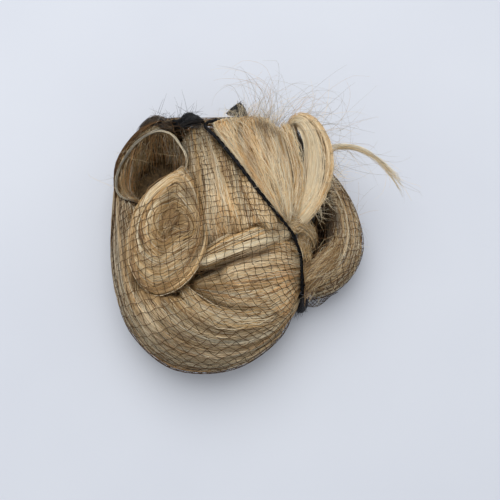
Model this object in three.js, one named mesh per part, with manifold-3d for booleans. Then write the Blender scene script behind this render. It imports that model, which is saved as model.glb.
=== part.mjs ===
// Clip-in hair extension, rolled up for storage in a stretch hair net.
// Millimetres, +Z up. The bundle lies on z = 0, and the origin is on the net's flat underside.
// The net's lobes set the outline. The locks fill them, and each lock is cut back from the ones laid over it.

import * as THREE from "three";
import { mergeVertices } from "three/addons/utils/BufferGeometryUtils.js";
import Module from "manifold-3d";

const wasm = await Module();
wasm.setup();

// Driving sizes
const netWall = 1.0; // the stretched net, taken as a wall
const gap = 0.35; // clearance between neighbouring pieces
const lockSides = 10; // facets round a lock
const ridges = 5; // strand ridges round a lock
const ridgeDepth = 0.035; // share of a lock's half width
const crownFlat = 19; // last draw-in of a lobe, at its crown
const stepsPerRow = 2; // sections made between two rows of a lock's table
const elasticWidth = 2.4; // the corded edge of the net's mouth
const cordFacets = { round: 6, along: 32 };
const rimLift = 0.2; // the cord's middle over the net's skin
const valleyLow = 20; // the cord's lowest point, between the two lobes
const topCell = { pitch: 19.5, size: 14.2, turn: 14, share: 0.8 }; // the openings over the crown of the bundle
const mouthLow = 24; // the lowest that the mouth is open
const cellDepth = 6; // how far the cut for an opening goes through the wall
const clip = { x: 9, y: 76.4, z: 29, long: 28, tall: 10, thick: 2, corner: 2.5 };

// Colours
const blonde = 0xc9a877;
const honey = 0xb9925a;
const cream = 0xdcc79c;
const umber = 0x8a6b44;
const black = 0x17161a;

// Rows of numbers with their column names
const table = (columns, rows) =>
  rows.map((row) => Object.fromEntries(columns.split(" ").map((name, i) => [name, row[i]])));

// The net's two lobes: the main bundle, and the smaller coil beside it.
// reach is the plan outline from the lobe's middle, and profile draws the outline in with height.
const mainLobe = {
  middle: new THREE.Vector2(-10, 10),
  even: 70, // reach at which an opening has its full width
  height: 62,
  sides: 22,
  reach: table("degrees out", [
    [0, 58],
    [24, 61],
    [45, 74],
    [66, 82],
    [90, 78],
    [116, 83],
    [138, 76],
    [158, 62],
    [182, 58.5],
    [208, 62],
    [232, 71],
    [256, 78],
    [282, 77],
    [308, 71],
    [330, 61],
  ]),
  profile: table("z inset", [
    [0, 14],
    [3.5, 5.5],
    [13, 1],
    [27, 0.5],
    [40, 5.5],
    [50, 14.5],
    [57.5, 28],
  ]),
  openings: table("z share tilt count size", [
    [19, 0.985, 3, 16, 18],
    [41, 0.9, 36, 16, 16],
  ]),
};
const sideLobe = {
  middle: new THREE.Vector2(52, 14),
  even: 32,
  height: 42,
  sides: 16,
  reach: table("degrees out", [
    [0, 31],
    [50, 35],
    [85, 45],
    [130, 34],
    [180, 24],
    [230, 30],
    [262, 38],
    [292, 36],
    [325, 33],
  ]),
  profile: table("z inset", [
    [0, 9],
    [4, 3],
    [18, 0],
    [29, 3],
    [37, 9],
  ]),
  openings: table("z share tilt count size", [
    [15, 0.99, 0, 8, 14],
    [33, 0.84, 36, 8, 12],
  ]),
};

// The corded edge of the net's mouth, in plan: the front edge down to the knot, then the edge behind.
const mouthRim = table("x y", [
  [-11, 73],
  [-4, 61],
  [7, 45.5],
  [18.5, 30],
  [28.5, 19],
  [37.5, 9.5],
  [42.8, -1],
  [44, -12.5],
  [45, -21.5],
  [47.2, -12],
  [47.5, 8],
  [47.5, 30],
  [44, 50],
  [36, 67],
  [22, 77],
  [6, 78.5],
]);

// The locks. wide and high are a section's full width and height, and a row is one section along the lock.
const sweepRows = table("x y z wide high", [
  [-24, 80, 25, 12, 38],
  [-44, 78, 24, 17, 42],
  [-60, 60, 23, 19, 44],
  [-60, 36, 23, 24, 46],
  [-53, 10, 26, 36, 50],
  [-46, -18, 27, 40, 54],
  [-30, -40, 27, 40, 56],
  [-6, -51, 27, 35, 56],
  [18, -47, 26, 31, 54],
  [35, -34, 23, 21, 46],
  [43, -24, 17, 10, 28],
]);
const fanRows = table("x y z wide high", [
  [-19, -22, 40, 10, 22],
  [-4, -21, 32, 30, 56],
  [14, -18, 30, 43, 60],
  [31, -13, 28, 50, 58],
  [44, -11, 22, 38, 46],
]);
const fallRows = table("x y z wide high", [
  [-17, 74, 27, 20, 38],
  [-12, 57, 30, 27, 56],
  [-5, 37, 31, 34, 62],
  [2, 18, 31, 40, 62],
  [9, 2, 28, 40, 50],
]);
const loopRows = table("x y z wide high", [
  [-22, -12, 43, 8, 8],
  [2, -3, 52.5, 16, 14],
  [17, 4, 49.8, 17, 14],
  [32, 12.6, 40.5, 14, 10.5],
  [42, 19, 46, 13, 11],
  [49, 28.5, 51.5, 14, 9],
  [52.5, 44, 55, 18, 8],
  [51, 58, 58, 16, 8],
  [46, 67.5, 61, 12, 8],
  [41, 70.5, 59.5, 8, 7],
  [38.2, 68, 54, 6, 6],
  [38.8, 62, 47.5, 4, 4],
]);
const wispRows = table("x y z wide high", [
  [56, 54, 55.5, 6, 4],
  [64, 56.5, 55, 3.4, 3],
  [74, 56.8, 53.5, 2.8, 2.6],
  [86, 52.5, 49.5, 2.6, 2.4],
  [96, 45, 44.5, 2.2, 2],
  [103, 38.5, 40, 1.2, 1.2],
]);
const sideRows = table("x y z wide high", [
  [52, 54, 20, 13, 32],
  [64, 38, 21, 17, 40],
  [71, 15, 21, 20, 42],
  [67, -4, 20, 24, 40],
  [57, -12, 18.5, 23, 37],
  [47.5, -15.5, 15, 16, 28],
]);

// The loose hair that bulges out of the mouth, in upright sections from back to front
const spillRows = table("y x wide top bottom", [
  [75, 14, 32, 55, 20],
  [70, 14.5, 43, 67.5, 4],
  [60, 17.5, 42.5, 70.5, -6],
  [45, 23, 37, 70, -6],
  [30, 28.5, 27, 66, -2],
  [20, 32, 16, 60, 24],
  [13.5, 34.5, 6, 55, 43],
]);

// The rolled curl: a ring of hair wound round a lower whorl
const curl = { x: -32, y: 9, z: 38, turn: 81, long: 75, short: 45, ringWide: 22, ringHigh: 46, whorlTop: 54 };

// The open end of the roll, a thin cup of hair whose rim the net holds down
const roll = { x: -42, y: 47, turn: 35, long: 52, short: 44, wall: 2.6, floor: 10, rim: 62, taper: 0.7 };

// The dark hollow inside the side coil
const sideHollow = { x: 56, y: 18, wide: 13, long: 30 };

// Bunched net where the mouth is drawn together, along the top of the bundle
const gatherRows = table("x y z wide high", [
  [-49, 82, 34, 4, 6],
  [-43, 80, 40, 9, 10],
  [-35, 78, 44, 7, 8],
  [-27, 76.8, 47, 11, 11],
  [-19, 75.5, 49, 9, 9],
  [-12, 74.6, 51, 11, 11],
]);
const cornerRows = table("x y z wide high", [
  [7, 80, 45, 14, 5],
  [7.6, 83, 46, 10, 4],
  [8.5, 88.5, 45.5, 1.4, 1.4],
]);
const knotRows = table("x y z wide high", [
  [45, -22.5, 21, 5, 5],
  [45, -25, 14, 7, 6],
  [44.6, -26.5, 7, 6, 6],
  [44, -27.5, 1.5, 3, 2.4],
]);

// A closed skin over rings of points. The ends are capped, unless the rings run round in a loop.
function skin(rings, loop = false) {
  const sides = rings[0].length;
  const points = rings.flat();
  const faces = [];
  const last = loop ? rings.length : rings.length - 1;
  for (let i = 0; i < last; i++) {
    const near = i * sides;
    const far = ((i + 1) % rings.length) * sides;
    for (let j = 0; j < sides; j++) {
      const k = (j + 1) % sides;
      faces.push(near + j, near + k, far + k, near + j, far + k, far + j);
    }
  }
  const cap = (ring, start, back) => {
    const middle = new THREE.Vector3();
    ring.forEach((p) => middle.addScaledVector(p, 1 / sides));
    const hub = points.push(middle) - 1;
    for (let j = 0; j < sides; j++) {
      const k = (j + 1) % sides;
      faces.push(hub, start + (back ? k : j), start + (back ? j : k));
    }
  };
  if (!loop) {
    cap(rings[0], 0, true);
    cap(rings[rings.length - 1], (rings.length - 1) * sides, false);
  }
  return new THREE.BufferGeometry().setFromPoints(points).setIndex(faces);
}

// A geometry as a solid that can be joined and cut
function solid(geometry) {
  const bare = geometry.clone();
  bare.deleteAttribute("normal");
  bare.deleteAttribute("uv");
  const merged = mergeVertices(bare, 1e-4);
  return new wasm.Manifold(
    new wasm.Mesh({
      numProp: 3,
      vertProperties: merged.attributes.position.array,
      triVerts: new Uint32Array(merged.index.array),
    }),
  );
}

// The largest body of a solid, as a geometry
function geometryOf(made) {
  const bodies = made.decompose().sort((a, b) => b.volume() - a.volume());
  const mesh = bodies[0].getMesh();
  return new THREE.BufferGeometry()
    .setAttribute("position", new THREE.BufferAttribute(mesh.vertProperties, 3))
    .setIndex(new THREE.BufferAttribute(mesh.triVerts, 1));
}

const joined = (solids) => solids.reduce((a, b) => a.add(b));

// One section of a lock: an oval with strand ridges, across the direction that the lock runs in
function section(centre, along, wide, high, sides = lockSides) {
  const side = new THREE.Vector3(0, 0, 1).cross(along).normalize();
  const up = along.clone().cross(side).normalize();
  return Array.from({ length: sides }, (_, j) => {
    const a = (j / sides) * 2 * Math.PI;
    const ridge = sides === lockSides ? 1 + ridgeDepth * Math.cos(ridges * a) : 1;
    return centre
      .clone()
      .addScaledVector(side, (wide / 2) * ridge * Math.cos(a))
      .addScaledVector(up, (high / 2) * ridge * Math.sin(a));
  });
}

// A lock lofted along its rows, grown all round by the given margin
function lock(rows, grow = 0) {
  const path = new THREE.CatmullRomCurve3(rows.map((r) => new THREE.Vector3(r.x, r.y, r.z)));
  const size = new THREE.CatmullRomCurve3(rows.map((r) => new THREE.Vector3(r.wide, r.high, 0)));
  const steps = (rows.length - 1) * stepsPerRow;
  const rings = Array.from({ length: steps + 1 }, (_, i) => {
    const along = path.getTangent(i / steps);
    const centre = path.getPoint(i / steps);
    if (i === 0) centre.addScaledVector(along, -grow);
    if (i === steps) centre.addScaledVector(along, grow);
    const s = size.getPoint(i / steps);
    return section(centre, along, s.x + 2 * grow, s.y + 2 * grow);
  });
  return solid(skin(rings));
}

// The loose hair in the mouth, lofted through upright sections
function spill(grow = 0) {
  const towardsFront = new THREE.Vector3(0, -1, 0);
  const middle = (r) => new THREE.Vector3(r.x, r.y, (r.top + r.bottom) / 2);
  const path = new THREE.CatmullRomCurve3(spillRows.map(middle));
  const spread = (r) => new THREE.Vector3(r.wide, r.top - r.bottom, 0);
  const size = new THREE.CatmullRomCurve3(spillRows.map(spread));
  const steps = (spillRows.length - 1) * stepsPerRow;
  const rings = Array.from({ length: steps + 1 }, (_, i) => {
    const centre = path.getPoint(i / steps);
    if (i === 0) centre.y += grow;
    if (i === steps) centre.y -= grow;
    const s = size.getPoint(i / steps);
    return section(centre, towardsFront, s.x + 2 * grow, s.y + 2 * grow);
  });
  return solid(skin(rings));
}

// The curl's ring and whorl
function curlBun(grow = 0) {
  const steps = 18;
  const rx = (curl.long - curl.ringWide) / 2;
  const ry = (curl.short - curl.ringWide) / 2;
  const rings = Array.from({ length: steps }, (_, i) => {
    const a = (i / steps) * 2 * Math.PI;
    const centre = new THREE.Vector3(rx * Math.cos(a), ry * Math.sin(a), 0);
    const along = new THREE.Vector3(-rx * Math.sin(a), ry * Math.cos(a), 0).normalize();
    return section(centre, along, curl.ringWide + 2 * grow, curl.ringHigh + 2 * grow);
  });
  const place = new THREE.Matrix4()
    .makeTranslation(curl.x, curl.y, curl.z)
    .multiply(new THREE.Matrix4().makeRotationZ(THREE.MathUtils.degToRad(curl.turn)));
  const whorlHigh = curl.whorlTop - curl.z + grow;
  const whorl = new THREE.SphereGeometry(1, 10, 6)
    .rotateX(Math.PI / 2)
    .scale(rx + 2 * grow, ry + 4 + 2 * grow, whorlHigh);
  return solid(skin(rings, true).applyMatrix4(place)).add(solid(whorl.applyMatrix4(place)));
}

// The roll as a cup, as the plug of room it takes, or as the cut that its hollow makes in the net
function rollCup(grow = 0, kind = "cup") {
  const wide = roll.long / 2 + grow;
  const low = wide * roll.taper;
  const top = roll.rim - roll.floor + grow;
  const base = 2 * roll.wall;
  const profiles = {
    cup: [
      [0, -grow],
      [low, -grow],
      [wide, top],
      [wide - roll.wall, top],
      [low - roll.wall, base],
      [0, base],
    ],
    plug: [
      [0, -grow],
      [low, -grow],
      [wide, top],
      [0, top],
    ],
    hollow: [
      [0, base],
      [low - roll.wall, base],
      [wide - roll.wall, top],
      [0, top],
    ],
  };
  const profile = profiles[kind].map(([r, z]) => new THREE.Vector2(r, z));
  const cup = new THREE.LatheGeometry(profile, 18)
    .rotateX(Math.PI / 2)
    .scale(1, roll.short / roll.long, 1)
    .rotateZ(THREE.MathUtils.degToRad(roll.turn))
    .translate(roll.x, roll.y, roll.floor);
  return solid(cup);
}

// A lobe's outline in plan, about its own middle
function planOf({ reach }) {
  const corner = ({ degrees, out }) => {
    const a = THREE.MathUtils.degToRad(degrees);
    return new THREE.Vector3(out * Math.cos(a), out * Math.sin(a), 0);
  };
  return new THREE.CatmullRomCurve3(reach.map(corner), true);
}

// One lobe of the net, drawn in all round by the given margin
function lobe(part, inset) {
  const { middle, height, sides, profile } = part;
  const plan = planOf(part).getSpacedPoints(sides).slice(0, sides);
  const level = (z) => inset + (z / height) * (height - 2 * inset);
  const ring = (z, drawnIn) =>
    plan.map((p) => p.clone().multiplyScalar(1 - (drawnIn + inset) / p.length()).setZ(level(z)));
  const rings = profile.map((row) => ring(row.z, row.inset));
  rings.push(ring(height, profile[profile.length - 1].inset + crownFlat));
  return solid(skin(rings).translate(middle.x, middle.y, 0));
}

const bag = (inset) => lobe(mainLobe, inset).add(lobe(sideLobe, inset));

// Height of the bag's skin over a point of the plan, or null beside the bag
const bagSkin = new THREE.Mesh(geometryOf(bag(0)));
const drop = new THREE.Raycaster();
function bagTop(x, y) {
  drop.set(new THREE.Vector3(x, y, 200), new THREE.Vector3(0, 0, -1));
  const hit = drop.intersectObject(bagSkin)[0];
  return hit ? hit.point.z : null;
}

// The corded rim, a closed tube laid on the bag's skin
const rimPath = new THREE.CatmullRomCurve3(
  mouthRim.map(({ x, y }) => new THREE.Vector3(x, y, (bagTop(x, y) ?? valleyLow) + rimLift)),
  true,
);
function elastic(grow = 0) {
  const { round, along } = cordFacets;
  const rings = Array.from({ length: along }, (_, i) => {
    const width = elasticWidth + 2 * grow;
    return section(rimPath.getPoint(i / along), rimPath.getTangent(i / along), width, width, round);
  });
  return solid(skin(rings, true));
}

// A plain prism over an outline in plan
const prism = (shape, low, high) =>
  solid(new THREE.ExtrudeGeometry(shape, { depth: high - low, bevelEnabled: false }).translate(0, 0, low));

// The openings of the net, in rings round each lobe and in a grid over the crown.
// Those that would break the corded rim are left out.
function netOpenings(mouth) {
  const rim = rimPath.getPoints(90);
  const outwards = new THREE.Raycaster();
  const cuts = [];
  for (const part of [mainLobe, sideLobe]) {
    const outline = planOf(part);
    part.openings.forEach(({ z, share, tilt, count, size }, ring) => {
      for (let k = 0; k < count; k++) {
        const edge = outline.getPointAt(((k + (ring % 2) / 2) / count) % 1);
        const facing = edge.clone().normalize();
        const lean = THREE.MathUtils.degToRad(tilt);
        const normal = facing.clone().multiplyScalar(Math.cos(lean)).setZ(Math.sin(lean));
        const at = edge.clone().multiplyScalar(share);
        at.set(at.x + part.middle.x, at.y + part.middle.y, z);
        const wide = size * Math.min(1, edge.length() / part.even);
        outwards.set(at.clone().addScaledVector(normal, 60), normal.clone().negate());
        const hit = outwards.intersectObject(bagSkin)[0];
        const strayed = !hit || hit.point.distanceTo(at) > size / 2;
        const bound = insidePlan(at, mouth) || rim.some((q) => q.distanceTo(at) < size * 0.85);
        if (strayed || bound) continue;
        const turn = new THREE.Matrix4().lookAt(normal, new THREE.Vector3(), new THREE.Vector3(0, 0.01, 1));
        const box = new THREE.BoxGeometry(wide, wide, cellDepth).applyMatrix4(turn);
        cuts.push(solid(box.translate(hit.point.x, hit.point.y, hit.point.z)));
      }
    });
  }
  const spin = THREE.MathUtils.degToRad(topCell.turn);
  const crown = planOf(mainLobe)
    .getPoints(60)
    .map((p) => new THREE.Vector2(p.x, p.y).multiplyScalar(topCell.share).add(mainLobe.middle));
  const reachCells = Math.ceil(mainLobe.height / topCell.pitch);
  for (let row = -reachCells; row <= reachCells; row++) {
    for (let column = -reachCells; column <= reachCells; column++) {
      const at = new THREE.Vector2(column, row).multiplyScalar(topCell.pitch);
      at.rotateAround(new THREE.Vector2(), spin).add(mainLobe.middle);
      const top = bagTop(at.x, at.y);
      const bound = rim.some((q) => Math.hypot(q.x - at.x, q.y - at.y) < topCell.size * 0.85);
      if (!insidePlan(at, crown) || insidePlan(at, mouth) || bound) continue;
      const box = new THREE.BoxGeometry(topCell.size, topCell.size, 3 * cellDepth).rotateZ(spin);
      cuts.push(solid(box.translate(at.x, at.y, top)));
    }
  }
  return cuts;
}

// True for a point inside a closed outline
function insidePlan(p, outline) {
  let inside = false;
  outline.forEach((a, i) => {
    const b = outline[(i + 1) % outline.length];
    const crosses = a.y > p.y !== b.y > p.y;
    if (crosses && p.x < a.x + ((p.y - a.y) / (b.y - a.y)) * (b.x - a.x)) inside = !inside;
  });
  return inside;
}

// The two wide openings of the net, over the roll's hollow and the side coil's
const sideMouth = () =>
  solid(
    new THREE.CylinderGeometry(1, 1, 30, 16)
      .rotateX(Math.PI / 2)
      .scale(sideHollow.wide / 2, sideHollow.long / 2, 1)
      .translate(sideHollow.x, sideHollow.y, 45),
  );

// Room for the hair: inside the net, and above it where the mouth is open
const room = bag(netWall + gap);
const openAir = solid(new THREE.BoxGeometry(300, 300, 100).translate(0, 0, 50 + mouthLow));

// The net: a thin wall over both lobes, open at the mouth
function net() {
  const mouth = rimPath.getPoints(36).map((p) => new THREE.Vector2(p.x, p.y));
  const wall = bag(0).subtract(bag(netWall));
  const cuts = [
    prism(new THREE.Shape(mouth), mouthLow, 90),
    rollCup(0, "hollow"),
    sideMouth(),
    elastic(gap),
    lock(loopRows, gap),
    spill(gap).intersect(openAir),
    ...netOpenings(mouth),
  ];
  return cuts.reduce((left, cut) => left.subtract(cut), wall);
}

// Each lock is cut back from those that lie over it, which come before it in this list.
const shapes = [
  { name: "hair_loop", colour: cream, make: (g) => lock(loopRows, g).add(lock(wispRows, g)), free: true },
  { name: "hair_curl", colour: blonde, make: curlBun },
  { name: "hair_roll", colour: umber, make: rollCup, taken: (g) => rollCup(g, "plug") },
  { name: "hair_spill", colour: cream, make: spill, free: true },
  { name: "hair_fan", colour: blonde, make: (g) => lock(fanRows, g) },
  { name: "hair_fall", colour: blonde, make: (g) => lock(fallRows, g) },
  { name: "hair_sweep", colour: honey, make: (g) => lock(sweepRows, g) },
  { name: "hair_side_coil", colour: honey, make: (g) => lock(sideRows, g) },
];

const bundle = new THREE.Group();
function addPiece(name, made, colour, roughness, metalness = 0) {
  const material = new THREE.MeshStandardMaterial({ color: colour, roughness, metalness });
  const mesh = new THREE.Mesh(geometryOf(made), material);
  mesh.name = name;
  bundle.add(mesh);
}

const over = [elastic(gap)];
for (const { name, colour, make, taken, free } of shapes) {
  const held = free ? room.add(openAir) : room;
  addPiece(name, make(0).intersect(held).subtract(joined(over)), colour, 0.45);
  over.push((taken ?? make)(gap));
}

addPiece("hair_net", net(), black, 0.8);
addPiece("net_elastic", elastic(), black, 0.7);

// Folds of net outside the bag, clear of its wall and of the cord
const outside = (made) => made.subtract(bag(-gap)).subtract(elastic(gap));
addPiece("net_gather", outside(lock(gatherRows)), black, 0.85);
addPiece("net_corner", outside(lock(cornerRows)), black, 0.85);
addPiece("net_knot", outside(lock(knotRows)), black, 0.85);

// The clip behind the loose hair: a plain plate with rounded corners, standing on its long edge
function clipPlate() {
  const { long, tall, thick, corner } = clip;
  const w = long / 2 - corner;
  const h = tall / 2 - corner;
  const shape = new THREE.Shape()
    .absarc(w, h, corner, 0, Math.PI / 2)
    .absarc(-w, h, corner, Math.PI / 2, Math.PI)
    .absarc(-w, -h, corner, Math.PI, Math.PI * 1.5)
    .absarc(w, -h, corner, Math.PI * 1.5, Math.PI * 2);
  const plate = new THREE.ExtrudeGeometry(shape, { depth: thick, bevelEnabled: false, curveSegments: 2 });
  return plate.translate(0, 0, -thick / 2).rotateX(Math.PI / 2).translate(clip.x, clip.y, clip.z);
}
addPiece("weft_clip", solid(clipPlate()), umber, 0.4, 0.8);

export default bundle;
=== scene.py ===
import math
import bpy
import bmesh
import numpy as np
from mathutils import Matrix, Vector
from mathutils.bvhtree import BVHTree


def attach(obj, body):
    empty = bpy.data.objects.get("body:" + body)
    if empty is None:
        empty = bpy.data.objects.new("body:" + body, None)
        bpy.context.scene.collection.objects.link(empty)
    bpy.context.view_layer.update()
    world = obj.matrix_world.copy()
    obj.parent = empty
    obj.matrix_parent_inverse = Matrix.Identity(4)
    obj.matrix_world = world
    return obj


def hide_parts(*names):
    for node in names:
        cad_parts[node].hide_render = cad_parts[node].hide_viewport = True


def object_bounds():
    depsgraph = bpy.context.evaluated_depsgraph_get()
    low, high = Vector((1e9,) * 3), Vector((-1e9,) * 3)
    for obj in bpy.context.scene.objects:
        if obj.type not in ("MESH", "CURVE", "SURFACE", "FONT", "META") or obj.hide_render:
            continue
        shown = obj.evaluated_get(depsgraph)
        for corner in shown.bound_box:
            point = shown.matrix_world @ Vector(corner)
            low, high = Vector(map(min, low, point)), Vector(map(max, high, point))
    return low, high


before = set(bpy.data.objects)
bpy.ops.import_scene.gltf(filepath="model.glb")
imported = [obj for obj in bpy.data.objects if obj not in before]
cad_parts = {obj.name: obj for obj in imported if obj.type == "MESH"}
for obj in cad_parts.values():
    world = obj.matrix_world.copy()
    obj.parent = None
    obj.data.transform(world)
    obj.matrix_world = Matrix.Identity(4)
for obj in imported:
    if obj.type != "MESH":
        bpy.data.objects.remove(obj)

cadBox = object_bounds()
mm = 0.001
turnFull = 2 * math.pi
floorGap = 0.35  # the lowest that a strand's middle lies


# colours

def ink(red, green, blue, level=1.0):  # a screen colour as the shader's own numbers
    share = np.array([red, green, blue]) / 255
    return np.where(share > 0.04045, ((share + 0.055) / 1.055) ** 2.4, share / 12.92) * level


inks = dict(
    cream=ink(254, 238, 204),
    blonde=ink(244, 216, 168),
    honey=ink(230, 191, 132),
    brown=ink(192, 150, 98),
    umber=ink(142, 108, 70),
    olive=ink(124, 106, 78),
    ash=ink(168, 158, 140),
    bark=ink(92, 76, 58),
    soot=ink(52, 46, 42),
    black=ink(20, 19, 22),
)

# camera

view = dict(target=(14.5, 3, 30), away=430, lift=75, lens=53.38)
lift = math.radians(view["lift"])
eye = Vector(view["target"]) + view["away"] * Vector((0, -math.cos(lift), math.sin(lift)))
camera = bpy.data.objects.new("camera", bpy.data.cameras.new("camera"))
camera.data.lens = view["lens"]
camera.data.clip_start = 0.01
camera.location = eye * mm
camera.rotation_euler = (math.pi / 2 - lift, 0, 0)
bpy.context.collection.objects.link(camera)
bpy.context.scene.camera = camera
print("camera set")


# materials

def newMaterial(name):
    material = bpy.data.materials.new(name)
    material.use_nodes = True
    nodes = material.node_tree.nodes
    return material, nodes, material.node_tree.links, nodes["Principled BSDF"]


def noiseNode(nodes, links, source, scale, detail=3.0, stretch=None):
    noise = nodes.new("ShaderNodeTexNoise")
    noise.inputs["Scale"].default_value = scale
    noise.inputs["Detail"].default_value = detail
    if stretch:
        mapping = nodes.new("ShaderNodeMapping")
        mapping.inputs["Scale"].default_value = stretch
        links.new(source, mapping.inputs["Vector"])
        source = mapping.outputs["Vector"]
    links.new(source, noise.inputs["Vector"])
    return noise.outputs["Fac"]


def rampNode(nodes, links, source, stops):
    ramp = nodes.new("ShaderNodeValToRGB")
    while len(ramp.color_ramp.elements) < len(stops):
        ramp.color_ramp.elements.new(0.5)
    for element, (place, colour) in zip(ramp.color_ramp.elements, stops):
        element.position = place
        element.color = (*[float(c) for c in colour], 1)
    links.new(source, ramp.inputs["Fac"])
    return ramp.outputs["Color"]


def rangeNode(nodes, links, source, low, high):
    spread = nodes.new("ShaderNodeMapRange")
    spread.inputs["To Min"].default_value = low
    spread.inputs["To Max"].default_value = high
    links.new(source, spread.inputs["Value"])
    return spread.outputs["Result"]


def bumpNode(nodes, links, height, strength, distance, shader):
    bump = nodes.new("ShaderNodeBump")
    bump.inputs["Strength"].default_value = strength
    bump.inputs["Distance"].default_value = distance
    links.new(height, bump.inputs["Height"])
    links.new(bump.outputs["Normal"], shader.inputs["Normal"])


strandFinish = dict(specular=0.5, rough=(0.28, 0.42), patches=260, patchShade=(0.9, 1.1), cuticle=2600,
                    bump=(0.15, 0.0001))
massFinish = dict(specular=0.25, rough=(0.45, 0.65), streaks=9, stops=(0.32, 0.52, 0.7), bump=(0.6, 0.0006))
threadFinish = dict(specular=0.15, wear=320, stops=(0.35, 0.7), yarn=3200, bump=(0.3, 0.0001))


def strandMaterial(name):  # each strand's own tint, a little uneven along it
    material, nodes, links, shader = newMaterial(name)
    tint = nodes.new("ShaderNodeAttribute")
    tint.attribute_name = "tint"
    place = nodes.new("ShaderNodeTexCoord").outputs["Object"]
    patches = noiseNode(nodes, links, place, strandFinish["patches"])
    shade = rangeNode(nodes, links, patches, *strandFinish["patchShade"])
    blend = nodes.new("ShaderNodeVectorMath")
    blend.operation = "SCALE"
    links.new(tint.outputs["Color"], blend.inputs[0])
    links.new(shade, blend.inputs["Scale"])
    links.new(blend.outputs["Vector"], shader.inputs["Base Color"])
    links.new(rangeNode(nodes, links, patches, *strandFinish["rough"]), shader.inputs["Roughness"])
    shader.inputs["Specular IOR Level"].default_value = strandFinish["specular"]
    cuticle = noiseNode(nodes, links, place, strandFinish["cuticle"], 2)
    bumpNode(nodes, links, cuticle, *strandFinish["bump"], shader)
    return material


def massMaterial(name, dark, light):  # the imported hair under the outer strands
    material, nodes, links, shader = newMaterial(name)
    grain = nodes.new("ShaderNodeAttribute")
    grain.attribute_name = "grain"
    streaks = noiseNode(nodes, links, grain.outputs["Vector"], massFinish["streaks"], 4)
    stops = zip(massFinish["stops"], (dark, (dark + light) / 2, light))
    links.new(rampNode(nodes, links, streaks, list(stops)), shader.inputs["Base Color"])
    links.new(rangeNode(nodes, links, streaks, *massFinish["rough"]), shader.inputs["Roughness"])
    shader.inputs["Specular IOR Level"].default_value = massFinish["specular"]
    bumpNode(nodes, links, streaks, *massFinish["bump"], shader)
    return material


def threadMaterial(name, dark, light, rough):  # twisted black yarn
    material, nodes, links, shader = newMaterial(name)
    place = nodes.new("ShaderNodeTexCoord").outputs["Object"]
    wear = noiseNode(nodes, links, place, threadFinish["wear"])
    stops = zip(threadFinish["stops"], (dark, light))
    links.new(rampNode(nodes, links, wear, list(stops)), shader.inputs["Base Color"])
    links.new(rangeNode(nodes, links, wear, *rough), shader.inputs["Roughness"])
    shader.inputs["Specular IOR Level"].default_value = threadFinish["specular"]
    yarn = noiseNode(nodes, links, place, threadFinish["yarn"], 2)
    bumpNode(nodes, links, yarn, *threadFinish["bump"], shader)
    return material


strandLook = strandMaterial("hair_strands")
massLook = massMaterial("hair_mass", ink(106, 84, 56), ink(184, 152, 106))
shadeLook = massMaterial("hair_mass_in_shade", ink(70, 55, 36), ink(128, 104, 70))
netLook = threadMaterial("net_thread", ink(64, 45, 28), ink(106, 78, 49), (0.65, 0.85))
hillLook = massMaterial("net_over_hair", ink(60, 48, 36), ink(98, 80, 58))
bunchLook = massMaterial("net_bunch", ink(14, 13, 14), ink(44, 38, 34))
elasticLook = threadMaterial("elastic_cord", ink(8, 8, 10), ink(26, 25, 29), (0.45, 0.7))
print("materials made")


# small tools

def finished(name, mesh, material, slotName, *nodes):  # a piece in place, riding on the part
    obj = bpy.data.objects.new(name, mesh)
    bpy.context.collection.objects.link(obj)
    mesh.materials.append(material)
    mesh.polygons.foreach_set("use_smooth", np.ones(len(mesh.polygons), bool))
    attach(obj, "root")
    if nodes:
        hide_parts(*nodes)
    return obj


def spline(points, count, closed=False):  # smooth path through rows of numbers, evenly stepped between them
    points = np.asarray(points, float)
    n = len(points)
    if closed:
        around = np.vstack([points[-1], points, points[:2]])
        t = np.linspace(0, n, count, endpoint=False)
    else:
        around = np.vstack([2 * points[0] - points[1], points, 2 * points[-1] - points[-2]])
        t = np.linspace(0, n - 1, count)
    i = np.minimum(t.astype(int), n - (1 if closed else 2))
    f = (t - i)[:, None]
    a, b, c, d = around[i], around[i + 1], around[i + 2], around[i + 3]
    return b + 0.5 * f * (c - a + f * (2 * a - 5 * b + 4 * c - d + f * (3 * (b - c) + d - a)))


def unit(v):
    return v / np.maximum(np.linalg.norm(v, axis=-1, keepdims=True), 1e-9)


def ramp(value, start, run):  # 0 up to the start, 1 from the end of the run
    return np.clip((value - start) / run, 0, 1)


def spot(value, middle, reach):  # a soft bump of 1
    return np.exp(-((value - middle) / reach) ** 2)


def spots(marks, a, b):  # soft bumps over two measures: amount, then middle and reach in each
    return sum(amount * spot(a, *first) * spot(b, *second) for amount, first, second in marks)


def outlineOf(plan):  # a closed outline round 0, as sorted angles and their radii
    angle = np.arctan2(plan[:, 1], plan[:, 0]) % turnFull
    order = np.argsort(angle)
    return angle[order], np.hypot(plan[:, 0], plan[:, 1])[order]


def reachAt(outline, angle):
    return np.interp(angle % turnFull, *outline, period=turnFull)


def ringAt(rows, turn):  # between the rows of a closed ring
    at = (turn % 1) * len(rows)
    i = at.astype(int) % len(rows)
    f = (at - np.floor(at))[..., None]
    return rows[i] * (1 - f) + rows[(i + 1) % len(rows)] * f


def tapered(rng, half, count, t, share=0.5):  # half widths that thin out towards both ends
    return rng.uniform(*half, count)[:, None] * (1 - share * np.abs(2 * t - 1) ** 4)


def tucked(t, deep=1.2):  # how far the ends go in under the others
    return deep * np.abs(2 * t - 1) ** 6


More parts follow.
